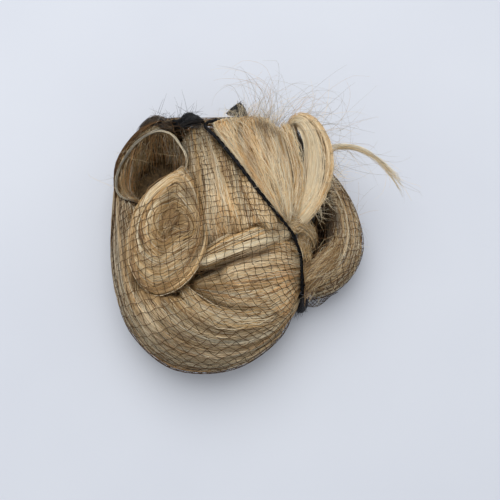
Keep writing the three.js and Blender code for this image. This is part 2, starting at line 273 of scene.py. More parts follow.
def tubes(name, paths, halfWidths, sides=3, tints=None):  # many thin closed tubes as one mesh
    corners, loops, starts, colours = [], [], [], []
    base = loopBase = 0
    ring = np.arange(sides) * turnFull / sides
    for k, path in enumerate(paths):  # each entry is a stack of paths with the same number of points
        count, points = path.shape[:2]
        path = np.maximum(path, (-1e3, -1e3, floorGap))
        along = unit(np.gradient(path, axis=1))
        lean = np.where(np.abs(along[..., 2:]) > 0.9, np.array([1.0, 0, 0]), np.array([0, 0, 1.0]))
        side = unit(np.cross(lean, along))
        up = np.cross(along, side)
        wide = halfWidths[k][..., None, None]
        spokes = np.cos(ring)[:, None] * side[:, :, None] + np.sin(ring)[:, None] * up[:, :, None]
        corners.append((path[:, :, None] + wide * spokes).reshape(-1, 3) * mm)
        ids = base + np.arange(count * points * sides).reshape(count, points, sides)
        ahead = np.roll(ids, -1, axis=2)
        walls = np.stack([ids[:, :-1], ahead[:, :-1], ahead[:, 1:], ids[:, 1:]], axis=-1).reshape(-1, 4)
        ends = np.concatenate([ids[:, 0, ::-1], ids[:, -1]])
        loops += [walls.ravel(), ends.ravel()]
        wallLoops = 4 * len(walls)
        starts += [loopBase + 4 * np.arange(len(walls)), loopBase + wallLoops + sides * np.arange(len(ends))]
        loopBase += wallLoops + sides * len(ends)
        base += count * points * sides
        if tints is not None:
            colour = np.broadcast_to(tints[k], (count, points, 3))[:, :, None]
            colours.append(np.broadcast_to(colour, (count, points, sides, 3)).reshape(-1, 3))
    corners, loops, starts = np.concatenate(corners), np.concatenate(loops), np.concatenate(starts)
    mesh = bpy.data.meshes.new(name)
    mesh.vertices.add(len(corners))
    mesh.vertices.foreach_set("co", corners.ravel())
    mesh.loops.add(len(loops))
    mesh.loops.foreach_set("vertex_index", loops.astype(np.int32))
    mesh.polygons.add(len(starts))
    mesh.polygons.foreach_set("loop_start", starts.astype(np.int32))
    if tints is not None:
        layer = mesh.attributes.new("tint", "FLOAT_COLOR", "POINT")
        colours = np.concatenate(colours)
        layer.data.foreach_set("color", np.hstack([colours, np.ones((len(colours), 1))]).ravel())
    mesh.update(calc_edges=True)
    return mesh


def lofted(name, rings, closed=False):  # a skin drawn ring by ring, with its ends filled
    bm = bmesh.new()
    grain = bm.verts.layers.float_vector.new("grain")
    count = len(rings[0])
    first = bmesh.ops.create_circle(bm, segments=count, radius=mm)["verts"]
    reach = np.cumsum([0] + [float(np.linalg.norm(b.mean(0) - a.mean(0))) for a, b in zip(rings, rings[1:])])

    def place(ring, k):
        for i, (vert, at) in enumerate(zip(ring, rings[k])):
            vert.co = np.maximum(at, (-1e3, -1e3, floorGap)) * mm
            turn = turnFull * i / count
            vert[grain] = (math.cos(turn), math.sin(turn), reach[k] * 0.012)

    def drawn(ring, k):
        edges = [bm.edges.get((a, b)) for a, b in zip(ring, ring[1:] + ring[:1])]
        made = bmesh.ops.extrude_edge_only(bm, edges=edges)["geom"]
        fresh = {v for v in made if isinstance(v, bmesh.types.BMVert)}
        joined = [(edge.other_vert(v), v) for v in fresh for edge in v.link_edges]
        follow = {old: v for old, v in joined if old not in fresh}
        ring = [follow[v] for v in ring]
        place(ring, k)
        return ring

    place(first, 0)
    ring = list(first)
    for k in range(1, len(rings)):
        ring = drawn(ring, k)
    rims = [edge for edge in bm.edges if edge.is_boundary]
    if closed:
        bmesh.ops.bridge_loops(bm, edges=rims)
    else:
        bmesh.ops.holes_fill(bm, edges=rims)
    bmesh.ops.recalc_face_normals(bm, faces=bm.faces)
    mesh = bpy.data.meshes.new(name)
    bm.to_mesh(mesh)
    bm.free()
    return mesh


def solidOf(node):  # a CAD node's faces, for laying strands on
    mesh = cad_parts[node].data
    return BVHTree.FromPolygons([v.co / mm for v in mesh.vertices], [p.vertices for p in mesh.polygons])


# the net's two lobes: plan outline from the middle, and how far it draws in with height

mainLobe = dict(
    middle=(-10, 10), height=62, flat=47,
    reach=[(0, 58), (24, 61), (45, 74), (66, 82), (90, 78), (116, 83), (138, 76), (158, 62), (182, 58.5),
           (208, 62), (232, 71), (256, 78), (282, 77), (308, 71), (330, 61)],
    profile=[(0, 14), (3.5, 5.5), (13, 1), (27, 0.5), (40, 5.5), (50, 14.5), (57.5, 28), (62, 47)],
)
sideLobe = dict(
    middle=(52, 14), height=42, flat=28,
    reach=[(0, 31), (50, 35), (85, 45), (130, 34), (180, 24), (230, 30), (262, 38), (292, 36), (325, 33)],
    profile=[(0, 9), (4, 3), (18, 0), (29, 3), (37, 9), (42, 28)],
)


def readyLobe(lobe):
    degrees, out = np.array(lobe["reach"]).T
    angle = np.radians(degrees)
    plan = spline(np.stack([out * np.cos(angle), out * np.sin(angle)], 1), 360, True)
    lobe["outline"] = outlineOf(plan)
    side = spline(lobe["profile"], 240)  # rows of height and draw-in, from the base to the crown
    step = np.hypot(*np.diff(side[::-1], axis=0).T)
    lobe["down"] = side[::-1]
    lobe["travel"] = np.concatenate([[0], np.cumsum(step)])


def lobeReach(lobe, angle):
    return reachAt(lobe["outline"], angle)


def polarOf(shape, x, y):  # distance and angle from a shape's middle
    dx, dy = x - shape["middle"][0], y - shape["middle"][1]
    return np.hypot(dx, dy), np.arctan2(dy, dx)


def planOf(shape, r, angle):
    return shape["middle"][0] + r * np.cos(angle), shape["middle"][1] + r * np.sin(angle)


def drawInAt(lobe, z):
    return np.interp(z, lobe["down"][::-1, 0], lobe["down"][::-1, 1])


def lobeTop(lobe, x, y):  # height of the lobe's skin over a point, or below the floor beside it
    r, angle = polarOf(lobe, x, y)
    drawIn = lobeReach(lobe, angle) - r
    upper = lobe["down"][: len(lobe["down"]) * 5 // 8][::-1]
    top = np.interp(drawIn, upper[:, 1], upper[:, 0])
    return np.where(drawIn > upper[0, 1], top, -1.0)


def lobeRoom(lobe, p):  # how far inside the lobe's wall a point is
    r, angle = polarOf(lobe, p[..., 0], p[..., 1])
    room = lobeReach(lobe, angle) - drawInAt(lobe, p[..., 2]) - r
    return np.where(p[..., 2] > lobe["height"], -1.0, room)


def bagTop(x, y):
    return np.maximum(lobeTop(mainLobe, x, y), lobeTop(sideLobe, x, y))


for lobe in (mainLobe, sideLobe):
    readyLobe(lobe)

net = dict(cell=4.7, thread=0.165, reach=170, span=36, turn=10, swing=20, jog=0.3, warp=2.0, base=0.4,
           inset=0.7, hug=4.5, hugFrom=13, hollow=1.0, slack=dict(x=-14, y=8, slope=0.4, z=46),
           pleats=dict(count=30, start=112, end=196, high=45, low=4),
           skirt=dict(count=13, start=244, end=294, wide=2.6, rows=1))
mouth = dict(
    rim=[(-11, 73), (-4, 61), (7, 45.5), (18.5, 30), (28.5, 19), (37.5, 9.5), (42.8, -1), (44, -12.5),
         (45, -21.5), (47.2, -12), (47.5, 8), (47.5, 30), (44, 50), (36, 67), (22, 77), (6, 78.5)],
    valley=20, low=24, lift=0.2,
)


def hugAt(z):  # how far the net draws in towards the floor
    return net["hug"] * ramp(z, net["hugFrom"], -net["hugFrom"]) ** 1.5


def rimPath(count):
    x, y = np.array(mouth["rim"], float).T
    top = bagTop(x, y)
    z = np.where(top > 0, top, mouth["valley"]) + mouth["lift"]
    return spline(np.stack([x, y, z], 1), count, True)


def insideMouth(x, y):
    plan = rimPath(160)[:, :2]
    after = np.roll(plan, -1, axis=0)
    inside = np.zeros(np.shape(x), bool)
    for a, b in zip(plan, after):
        crosses = (a[1] > y) != (b[1] > y)
        inside ^= crosses & (x < a[0] + (y - a[1]) / (b[1] - a[1] + 1e-12) * (b[0] - a[0]))
    return inside


# locks of hair

class Lock:  # a path with an oval section at each step, trimmed to its CAD solid
    def __init__(self, rows, node, stations=72, closed=False, columns=48, facing=None):
        table = spline(rows, stations, closed)
        self.closed = closed
        self.centre = table[:, :3]
        if closed:
            along = np.roll(self.centre, -1, axis=0) - np.roll(self.centre, 1, axis=0)
        else:
            along = np.gradient(self.centre, axis=0)
        along = unit(along) if facing is None else np.broadcast_to(np.array(facing, float), along.shape)
        self.side = unit(np.cross([0, 0, 1.0], along))
        self.up = np.cross(along, self.side)
        self.half = table[:, 3:5] / 2
        if node:
            self.trim(solidOf(node), columns)
        else:
            self.share = np.ones((stations, columns))

    def spoke(self, s, phi):  # from the path out to the oval
        n = len(self.centre)
        at = (s % 1) * n if self.closed else np.clip(s, 0, 1) * (n - 1)
        i = np.minimum(at.astype(int), n - 1 if self.closed else n - 2)
        f = at - i
        j = (i + 1) % n

        def between(rows):
            g = f[..., None]
            return rows[i] * (1 - g) + rows[j] * g

        half = between(self.half)
        out = half[..., :1] * np.cos(phi)[..., None] * between(self.side)
        out = out + half[..., 1:] * np.sin(phi)[..., None] * between(self.up)
        return between(self.centre), out, (i, j, f)

    def trim(self, solid, columns):
        n = len(self.centre)
        self.share = np.ones((n, columns))
        s = np.arange(n) / (n if self.closed else n - 1)
        for c in range(columns):
            centre, out, _ = self.spoke(s, np.full(n, turnFull * c / columns))
            for k in range(n):
                length = float(np.linalg.norm(out[k]))
                far = length * 1.05 + 0.6
                heading = out[k] / length
                hit = solid.ray_cast(Vector(centre[k] + heading * far), Vector(-heading), far)
                self.share[k, c] = min(1.0, (far - hit[3]) / length + 0.015) if hit[0] else 0.25
        padded = np.pad(self.share, ((1, 1), (0, 0)), "wrap" if self.closed else "edge")
        padded = np.pad(padded, ((0, 0), (1, 1)), "wrap")
        rows = padded[:-2] + 2 * padded[1:-1] + padded[2:]
        self.share = (rows[:, :-2] + 2 * rows[:, 1:-1] + rows[:, 2:]) / 16

    def point(self, s, phi, depth=0.0):  # on the lock's skin, or so deep under it
        centre, out, (i, j, f) = self.spoke(s, phi)
        columns = self.share.shape[1]
        at = (phi / turnFull % 1) * columns
        c = at.astype(int) % columns
        d = (c + 1) % columns
        g = at - np.floor(at)
        share = (self.share[i, c] * (1 - g) + self.share[i, d] * g) * (1 - f)
        share = share + (self.share[j, c] * (1 - g) + self.share[j, d] * g) * f
        length = np.linalg.norm(out, axis=-1)
        kept = np.maximum(share * length - depth, 0.15 * length) / np.maximum(length, 1e-6)
        return centre + out * kept[..., None]


def massOf(name, lock, depth, rings=44, columns=26, bend=None, end=1.0):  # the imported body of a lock
    s = np.linspace(0, end, rings, endpoint=not lock.closed)
    s, phi = np.meshgrid(s, np.arange(columns) * turnFull / columns, indexing="ij")
    grid = lock.point(s, phi, depth)
    return lofted(name, bend(s, phi, grid) if bend else grid, lock.closed)


def capped(tint):  # keeps a bright tint's hue
    return tint * 0.97 / np.maximum(tint.max(axis=-1, keepdims=True), 0.97)


def mixedTints(rng, mix, count):
    names = list(mix)
    weights = np.array([mix[n] for n in names], float)
    picks = rng.choice(len(names), count, p=weights / weights.sum())
    return np.array([inks[n] for n in names])[picks]


def clumpTints(rng, look, pick):  # one tint for each clump, a little different from hair to hair
    return mixedTints(rng, look["mix"], look["clumps"])[pick] * rng.uniform(*look["shades"], (len(pick), 1))


def allAlong(tint, points):  # one tint for the whole hair
    return np.repeat(capped(tint)[:, None], points, 1)


def furrows(rng, waves, s, phi):  # broad ridges side by side that bend along the lock
    shift = rng.uniform(0, turnFull, 4)
    bend = 1.2 * np.sin(5 * s + shift[0]) + 0.7 * np.sin(9 * s + shift[1])
    broad = np.sin(waves * phi + bend + shift[2])
    return 0.6 * broad + 0.4 * np.sin(1.7 * waves * phi - 1.3 * bend + shift[3])


usualStrands = dict(points=14, fan=(-35, 215), shades=(0.82, 1.15), twist=0, drift=16, span=(0.6, 1.0),
                    ends=0, zone=(0, 1), clumpWidth=1.6, wander=3, waves=14, depth=(-0.6, 0.6), relief=0.4,
                    tuck=1.4, width=(0.11, 0.19), thin=0.55, hairShades=(0.8, 1.14), furrowShade=0.12)


def layStrands(lock, look, seed):  # strands in small clumps that keep to the lock's run
    look = {**usualStrands, **look}
    rng = np.random.default_rng(seed)
    count, clumps = look["count"], look["clumps"]
    clumpTurn = np.radians(rng.uniform(*look["fan"], clumps))
    clumpTint = mixedTints(rng, look["mix"], clumps) * rng.uniform(*look["shades"], (clumps, 1))
    clumpDrift = np.radians(rng.normal(look["twist"], look["drift"], clumps))
    clumpStart = rng.uniform(0, 1, clumps)
    pick = rng.integers(0, clumps, count)
    span = rng.uniform(*look["span"], count)
    if lock.closed:
        begin = clumpStart[pick] + rng.normal(0, 0.05, count)
    else:
        past = look["ends"]  # the more, the more strands begin or stop right at an end
        begin = (clumpStart[pick] * (1 + past) - past / 2) * (1 - span)
        begin = np.clip(begin + rng.normal(0, 0.04, count), 0, 1 - span)
    t = np.linspace(0, 1, look["points"])
    first, last = look["zone"]
    s = first + (last - first) * (begin[:, None] + span[:, None] * t)
    phi = clumpTurn[pick] + np.radians(rng.normal(0, look["clumpWidth"], count))
    wander = np.radians(rng.normal(0, look["wander"], (count, 2)))
    sway = rng.uniform(0, turnFull, (count, 2))
    phi = phi[:, None] + clumpDrift[pick][:, None] * (s - 0.5)
    phi = phi + wander[:, :1] * np.sin(4 * s + sway[:, :1]) + wander[:, 1:] * np.sin(11 * s + sway[:, 1:])
    ridge = furrows(rng, look["waves"], s, phi)
    depth = rng.uniform(*look["depth"], count)[:, None] - look["relief"] * ridge
    paths = lock.point(s, phi, depth + tucked(t, look["tuck"]) + 0.2 * np.sin(9 * s + sway[:, 1:]))
    if "bend" in look:
        paths = look["bend"](s, phi, paths)
    width = tapered(rng, look["width"], count, t, look["thin"])
    tint = clumpTint[pick] * rng.uniform(*look["hairShades"], (count, 1))
    # painted shade in the furrows and painted light on the ridges
    tint = tint[:, None] * (1 + look["furrowShade"] * ridge)[..., None]
    if "tone" in look:
        tint = look["tone"](s, phi, paths, tint)
    return paths, width, capped(tint)


usualEnds = dict(points=9, room=9.0, kink=0.06)  # room is how far past the CAD box they may go


def looseEnds(rng, start, aim, look):  # thin ends that leave a surface and bend about
    look = {**usualEnds, **look}
    count, points, room = len(start), look["points"], look["room"]
    t = np.linspace(0, 1, points)[None, :, None]
    length = rng.uniform(*look["length"], (count, 1, 1))
    heading = unit(np.asarray(aim, float) + rng.normal(0, look["spread"], (count, 3)))[:, None]
    bow = rng.normal(0, look["bow"], (count, 1, 3))
    wave = rng.normal(0, look["kink"], (count, 1, 3))
    wave = wave * np.sin(7 * t + rng.uniform(0, turnFull, (count, 1, 1)))
    if "arc" in look:  # part of a ring
        ring = rng.uniform(*look["arc"], (count, 1, 1))
        aside = unit(np.cross(heading, rng.normal(0, 1, (count, 1, 3))))
        run = (heading * np.sin(ring * t) + aside * (1 - np.cos(ring * t))) / ring
    else:
        run = heading * t + bow * t * t
    paths = start[:, None] + length * (run + wave * t)
    low, high = np.array(cadBox) / mm
    paths = np.clip(paths, np.maximum(low - room, (-1e3, -1e3, 0.4)), high + room)
    width = rng.uniform(*look["half"], (count, 1)) * (1 - 0.6 * t[0, :, 0] ** 3)
    tint = mixedTints(rng, look["mix"], count) * rng.uniform(0.85, 1.1, (count, 1))
    return paths, width, allAlong(tint, points)


def washed(tint, name, share):  # drawn towards another ink
    return tint + (inks[name] - tint) * share[..., None]


def elasticAt(y):  # the mouth's left edge in plan
    x, along = np.array(mouth["rim"][:9], float)[::-1].T
    return np.interp(y, along, x)


def bandOf(look, seed, level=1.0):  # strands side by side along a few points
    rng = np.random.default_rng(seed)
    count, points = look["count"], look["points"]
    shift = rng.normal(0, 0.5, (count, 1, 3)) + rng.normal(0, 0.22, (count, points, 3))
    paths = spline(look["via"], points) + shift * np.array(look["spread"])
    if look.get("under"):  # left of the elastic
        paths[..., 0] = np.minimum(paths[..., 0], elasticAt(paths[..., 1]) - 0.9)
        paths[..., 2] = np.minimum(paths[..., 2], bagTop(paths[..., 0], paths[..., 1]) - 1.4)
    if look.get("clear"):  # right of the elastic's left edge
        paths[..., 0] = np.maximum(paths[..., 0], elasticAt(paths[..., 1]) + 0.8)
    paths[..., 2] = np.maximum(paths[..., 2], 0.8)
    width = rng.uniform(*look["half"], (count, 1)) * np.ones(points)
    tint = mixedTints(rng, look["mix"], count) * rng.uniform(0.75, 1.05, (count, 1)) * level
    return paths, width, allAlong(tint, points)


def strandPiece(name, parts, slotName, *nodes):
    paths, widths, tints = zip(*parts)
    return finished(name, tubes(name, paths, widths, 3, tints), strandLook, slotName, *nodes)


def lockPieces(node, slotName, mass, parts, material=massLook):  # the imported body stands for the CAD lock
    finished(node + "_mass", mass, material, slotName, node)
    strandPiece(node + "_strands", parts, slotName)
    print(node, "made")


# coiled curl: plan outline from the top round by the left, with its whorl nearer the top

curl = dict(
    middle=(-31, 13.8), dip=0.5, round=24, level=0.84, whorl=(0.03, 0.15, 0.2),
    marks=[(-0.06, (0.85, 0.16), (0.27, 0.1)), (-0.18, (0.85, 0.2), (0.86, 0.07)),  # by share and turn: painted highlight on the lower right rim, painted shade in the crease by the fall at the upper right
           (0.16, (0.72, 0.24), (0.54, 0.1)), (0.2, (0.93, 0.07), (0.6, 0.1)),
           (-0.4, (0.66, 0.16), (0.92, 0.05)), (-0.2, (0.72, 0.07), (0.5, 0.14))],
    edge=[(-23.1, 46.6), (-34.3, 38.4), (-44, 30), (-51.8, 19.1), (-55.6, 6.8), (-54.6, -5.6), (-49.7, -17.6),
          (-39.2, -28), (-28.9, -27.3), (-19.4, -21.6), (-11.9, -11.2), (-8.8, -0.9), (-9.5, 11),
          (-12.4, 23.7), (-16, 35.7)],
    ring=dict(x=-32, y=9, z=38, turn=81, long=75, short=45, wide=22, high=46),
    tip=(0.77, 0.11, 0.6),
    flank=dict(count=430, clumps=150, span=(0.3, 0.6), fan=(-60, 40), drift=22, twist=12, points=11,
               mix=dict(cream=2, blonde=4, honey=4, brown=3, umber=1)),
    tangle=dict(count=150, points=9, spread=(4.5, 4.5, 0.9), half=(0.09, 0.15),
                via=[(-34, 8, 53), (-29, 15, 54), (-23, 22, 54.5), (-18, 29, 54), (-15, 35, 52)],
                mix=dict(blonde=4, honey=5, brown=5, umber=2)),
    top=dict(count=1300, clumps=420, points=12, half=(0.11, 0.19), shades=(0.86, 1.1),
             mix=dict(cream=3, blonde=6, honey=5, brown=3, umber=1)),
    skirt=[(0.96, 6), (0.95, 18), (0.9, 32)],
)
curlEdge = spline(curl["edge"], 360, True) - curl["middle"]
curlOutline = outlineOf(curlEdge)


def curlShare(x, y):  # 1 on the curl's outline, 0 in its whorl
    r, angle = polarOf(curl, x, y)
    return r / reachAt(curlOutline, angle)


def curlPoint(share, turn):  # plan point, turn 0 at the top and on round by the left
    out = ringAt(curlEdge, turn)
    length = np.linalg.norm(out, axis=-1, keepdims=True)
    rounder = 0.55 * (1 - share)[..., None]
    out = out * (1 - rounder + rounder * curl["round"] / length)
    at, reach, draw = curl["tip"]  # the windings run together on the right
    return np.array(curl["middle"]) + (share ** (1 - draw * spot(turn % 1, at, reach)))[..., None] * out


def flankBend(s, phi, paths):  # keeps inside the curl's outline
    middle = np.array(curl["middle"])
    share = curlShare(paths[..., 0], paths[..., 1])[..., None]
    paths[..., :2] = middle + (paths[..., :2] - middle) * np.minimum(1, 0.975 / np.maximum(share, 0.1))
    return paths


# outer sweep, along the left and the bottom and round behind the roll

def sweepBend(s, phi, paths):  # keeps under the curl
    under = ramp(curlShare(paths[..., 0], paths[..., 1]), 1.13, -0.12)
    paths[..., 2] -= sweep["under"] * under * under
    return paths


def sweepTone(s, phi, paths, tint):
    x, y, z = np.moveaxis(paths, -1, 0)
    tint = washed(tint, "ash", 0.55 * ramp(x, -48, -12) * np.clip((40 - y) / 40 + 0.6, 0, 1))  # left flank
    tint = washed(tint, "ash", 0.3 * ramp(y, -34, -12))  # along the bottom
    # painted highlights: paler, brighter patches on the lower left and along the bottom
    gleam = spots(sweep["gleams"], x, y)
    tint = washed(tint, "cream", gleam) * (1 + 0.4 * gleam)[..., None]
    # painted shade: darker brown behind the roll
    tint = washed(tint, "bark", 0.85 * ramp(y, 58, 10) * np.clip((70 - y) / 6 + 0.35, 0, 1))
    tint = washed(tint, "black", 0.8 * ramp(x, -40, 8) * ramp(y, 60, 6))  # under the gather
    right = 0.4 * ramp(x, 10, 12) * ramp(y, -30, -8)
    # darker lower down: painted shade towards the floor
    return tint * ((0.6 + 0.28 * ramp(z, 12, 36)) * (0.97 + right))[..., None]


sweep = dict(
    rows=[(-24, 80, 25, 12, 38), (-44, 78, 24, 17, 42), (-60, 60, 23, 19, 44), (-60, 36, 23, 24, 46),
          (-53, 10, 26, 36, 50), (-46, -18, 27, 40, 54), (-30, -40, 27, 40, 56), (-6, -51, 27, 35, 56),
          (18, -47, 26, 31, 54), (35, -34, 23, 21, 46), (43, -24, 17, 10, 28)],
    under=6, gleams=[(0.6, (-40.5, 5), (-41, 11)), (0.5, (2, 16), (-60, 4))],
    look=dict(count=1900, clumps=580, span=(0.3, 0.55), fan=(-75, 255), ends=0.2, furrowShade=0.26,
              shades=(0.68, 1.26), twist=95, drift=26, points=10, depth=(-0.9, 0.4), bend=sweepBend,
              tone=sweepTone, mix=dict(cream=3, blonde=4, honey=4, brown=3, umber=1)),
)
sweepLock = Lock(sweep["rows"], "hair_sweep", 110)
lockPieces("hair_sweep", "hair_honey", massOf("hair_sweep_mass", sweepLock, 1.3, 70),
           [layStrands(sweepLock, sweep["look"], 11)])

# fan across the middle

hollow = dict(deep=0.9, shade=0.34,
              line=[(-15.3, -18.2, 0.6), (-9.5, -15.1, 1.4), (-3.3, -12.4, 2.2), (6.7, -9.8, 2.7),
                    (18.1, -6, 2.5), (28.4, -1.2, 1.6)])


def inHollow(paths):  # 1 in the shaded hollow between the golden band and the fan
    x, y, half = spline(hollow["line"], 40).T
    near = np.hypot(paths[..., :1] - x, paths[..., 1:2] - y) / half
    return np.exp(-near.min(axis=-1) ** 2)


def hollowShade(paths, tint):
    # painted shade: umber and darker in the hollow
    share = inHollow(paths)
    return washed(tint, "umber", 0.8 * share) * (1 - hollow["shade"] * share)[..., None]


def fanBend(s, phi, paths):
    paths[..., 2] -= hollow["deep"] * inHollow(paths)
    return paths


def fanTone(s, phi, paths, tint):
    tint = washed(tint, "ash", np.full(s.shape, 0.08))
    # painted highlight: a paler, brighter line across the fan just below the hollow
    along = np.interp(paths[..., 0], *np.array(fan["brow"]).T)
    brow = 0.5 * spot(paths[..., 1], along, 1.8) * (s > 0.12)
    tint = hollowShade(paths, washed(tint, "cream", brow) * (1 + 0.5 * brow)[..., None])
    tint = tint * (1 + 0.6 * ramp(paths[..., 0], 25, 8))[..., None]  # towards the elastic
    # painted light on the fan's top and painted shade along its upper edge below the golden band
    return tint * (1 + 0.12 * spot(phi, 1.7, 0.6) - 0.7 * spot(phi, 0.52, 0.3))[..., None]


fan = dict(
    rows=[(-19, -22, 40, 10, 22), (-4, -21, 32, 30, 56), (14, -18, 30, 43, 60), (31, -13, 28, 50, 58),
          (44, -11, 22, 38, 46)],
    look=dict(count=1560, clumps=450, span=(0.65, 1.0), drift=12, points=8, bend=fanBend, tone=fanTone,
              mix=dict(cream=4, blonde=4, honey=4, brown=3, umber=1)),
    brow=[(-12, -20), (4, -16.2), (20, -11.2), (32, -5)],
    ridge=dict(count=210, points=9, spread=(2.4, 4, 0.8), half=(0.11, 0.18),
               via=[(-25, -22, 38), (-20.2, -26.6, 47.5), (-13.3, -34, 52), (-2, -39.6, 53), (10, -41, 51.4),
                    (21, -38.5, 46.5), (28, -35, 38)],
               mix=dict(cream=5, blonde=4, honey=2, brown=1)),
)
fanLock = Lock(fan["rows"], "hair_fan")
lockPieces("hair_fan", "hair_blonde", massOf("hair_fan_mass", fanLock, 1.3),
           [layStrands(fanLock, fan["look"], 12), bandOf(fan["ridge"], 22, 0.92)])

# sheet of hair down from the top, which goes on under the net to the elastic

def fallLevel(paths):  # painted shade at the top, painted light above the golden band
    return np.interp(paths[..., 1], *np.array(fall["level"]).T)[..., None]


def fallTone(s, phi, paths, tint):  # one pale streak on its left side, a painted highlight
    tint = washed(tint, "ash", np.full(s.shape, 0.15))
    streak = 0.5 * spot(paths[..., 0], -6.5, 2.6) * ramp(s, 0.35, 0.2)
    return washed(tint, "cream", streak) * fallLevel(paths)


fall = dict(
    rows=[(-17, 74, 27, 20, 38), (-12, 57, 30, 27, 56), (-5, 37, 31, 34, 62), (2, 18, 31, 40, 62),
          (9, 2, 28, 40, 50)],
    look=dict(count=1400, clumps=400, span=(0.65, 1.0), twist=48, drift=10, points=8, tone=fallTone,
              mix=dict(cream=5, blonde=4, honey=4, brown=3, umber=1)),
    level=[(12, 1.5), (22, 1.25), (32, 0.84), (46, 0.78), (60, 0.44)],
    hem=dict(count=250, points=7, via=[(13, 35, 60), (17.2, 25.5, 59), (20.8, 17.6, 56.8), (25.2, 10.8, 53)],
             under=True, spread=(5, 3.4, 0.8), half=(0.11, 0.17),
             mix=dict(cream=3, blonde=4, honey=4, brown=4, umber=1)),
    edge=dict(count=640, clumps=220, points=8, top=(20, 76), lean=0.14, band=(5, 0.42), length=(24, 52),
              half=(0.11, 0.18), shades=(0.64, 0.92), mix=dict(cream=3, blonde=4, honey=4, brown=4, umber=1)),
)


def fallEdge(look, seed):  # laid on the inside of the net, from the elastic down to the golden band
    rng = np.random.default_rng(seed)
    count, points = look["count"], look["points"]
    pick = rng.integers(0, look["clumps"], count)
    t = np.linspace(0, 1, points)
    top = rng.uniform(*look["top"], look["clumps"])[pick] + rng.normal(0, 1.0, count)
    start = elasticAt(top) - 1.2 - rng.exponential(2.0, look["clumps"])[pick] + rng.normal(0, 0.4, count)
    length = rng.uniform(*look["length"], look["clumps"])[pick] * rng.uniform(0.85, 1.1, count)
    low = look["band"][0] + look["band"][1] * start
    y = np.maximum(top[:, None] - length[:, None] * t, np.minimum(low, top - 4)[:, None])
    x = start[:, None] + (look["lean"] + rng.normal(0, 0.03, count))[:, None] * (top[:, None] - y)
    x = np.minimum(x + 0.4 * np.sin(y / 7 + pick[:, None]), elasticAt(y) - 0.9)
    z = bagTop(x, y) - 1.5 - rng.uniform(0, 0.9, count)[:, None] - tucked(t)
    width = tapered(rng, look["half"], count, t)
    tint = clumpTints(rng, look, pick)
    paths = np.stack([x, y, z], -1)
    # darkened and lightened by the painted shade and light of fallLevel
    return paths, width, capped(tint[:, None] * (0.5 + 0.5 * fallLevel(paths)))


fallLock = Lock(fall["rows"], "hair_fall")
lockPieces("hair_fall", "hair_blonde", massOf("hair_fall_mass", fallLock, 1.3),
           [layStrands(fallLock, fall["look"], 13), fallEdge(fall["edge"], 23),
            bandOf(fall["hem"], 50, 0.95)])

# golden band that comes out as a loose loop, with its wisp

def loopBend(s, phi, paths):  # a slit parts the loop's two strips, and the hook's end goes down
    across = np.cos(phi) + 0.5  # more than 0 on the inner strip
    shift = 2.6 * np.maximum(across, 0) + 3 * np.minimum(across, 0) - 1.6 * np.tanh(across / 0.08)
    paths[..., 0] += shift * spot(s, 0.64, 0.14)
    paths[..., 2] -= 7 * ramp(s, 0.9, 0.1) ** 2 + hollow["deep"] * inHollow(paths)
    return paths


def loopTone(s, phi, paths, tint):
    free = ramp(s, 0.38, 0.1)
    outer = ramp(np.cos(phi), -0.4, -0.2)
    tint = washed(tint, "cream", 0.5 * free * (1 - outer))
    tint = washed(tint, "ash", 0.14 * free * (1 - outer))
    tint = washed(tint, "honey", 0.45 * free * outer)
    # painted highlight: a cream strip along the lower side of the band
    tint = washed(tint, "cream", 0.75 * (1 - free) * spot(phi, 2.4, 0.4))
    tint = hollowShade(paths, tint)
    hook = ramp(s, 0.86, 0.06)
    level = 0.98 + 0.6 * (1 - free) - 0.4 * hook * spot(phi, 0.4, 1.2)
    return tint * level[..., None]


def wispBend(s, phi, paths):  # the tip splits
    part = ramp(s, 0.45, 0.55) ** 2
    paths[..., 1] += 6 * part * np.sin(3 * phi[:, :1])
    paths[..., 2] += 2.5 * part * np.cos(2 * phi[:, :1])
    return paths


loop = dict(
    rows=[(-22, -12, 43, 8, 8), (2, -3, 52.5, 16, 14), (17, 4, 49.8, 17, 14), (32, 12.6, 40.5, 14, 10.5),
          (42, 19, 46, 13, 11), (49, 28.5, 51.5, 14, 9), (52.5, 44, 55, 18, 8), (51, 58, 58, 16, 8),
          (46, 67.5, 61, 12, 8), (41, 70.5, 59.5, 8, 7), (38.2, 68, 54, 6, 6), (38.8, 62, 47.5, 4, 4)],
    look=dict(count=960, clumps=330, span=(0.4, 0.8), fan=(-180, 180), drift=18, depth=(-0.5, 0.6),
              points=12, waves=7, furrowShade=0.1, bend=loopBend, tone=loopTone,
              mix=dict(cream=5, blonde=4, honey=3, brown=1)),
    strip=dict(count=90, points=8, spread=(1.4, 1.4, 0.5), half=(0.11, 0.17), under=True,
               via=[(-10.5, -12.2, 60.3), (-4, -9.3, 60.3), (6.6, -5, 59.7), (16, -0.3, 56.8),
                    (29.5, 4.8, 51)],
               mix=dict(cream=6, blonde=2)),
    wisp=[(56, 54, 55.5, 6, 4), (64, 56.5, 55, 3.4, 3), (74, 56.8, 53.5, 2.8, 2.6),
          (86, 52.5, 49.5, 2.6, 2.4), (96, 45, 44.5, 2.2, 2), (103, 38.5, 40, 1.2, 1.2)],
    wispLook=dict(count=64, clumps=18, span=(0.6, 1.0), fan=(-180, 180), drift=60, depth=(-0.2, 0.9), tuck=0,
                  width=(0.07, 0.13), bend=wispBend, mix=dict(cream=3, blonde=2)),
)
loopLock = Lock(loop["rows"], "hair_loop", 90)
wispLock = Lock(loop["wisp"], "hair_loop", 40, columns=16)
lockPieces("hair_loop", "hair_cream", massOf("hair_loop_mass", loopLock, 1.1, 36, end=0.46),
           [layStrands(loopLock, loop["look"], 14), layStrands(wispLock, loop["wispLook"], 15),
            bandOf(loop["strip"], 51)])

# loose hair that bulges out of the mouth

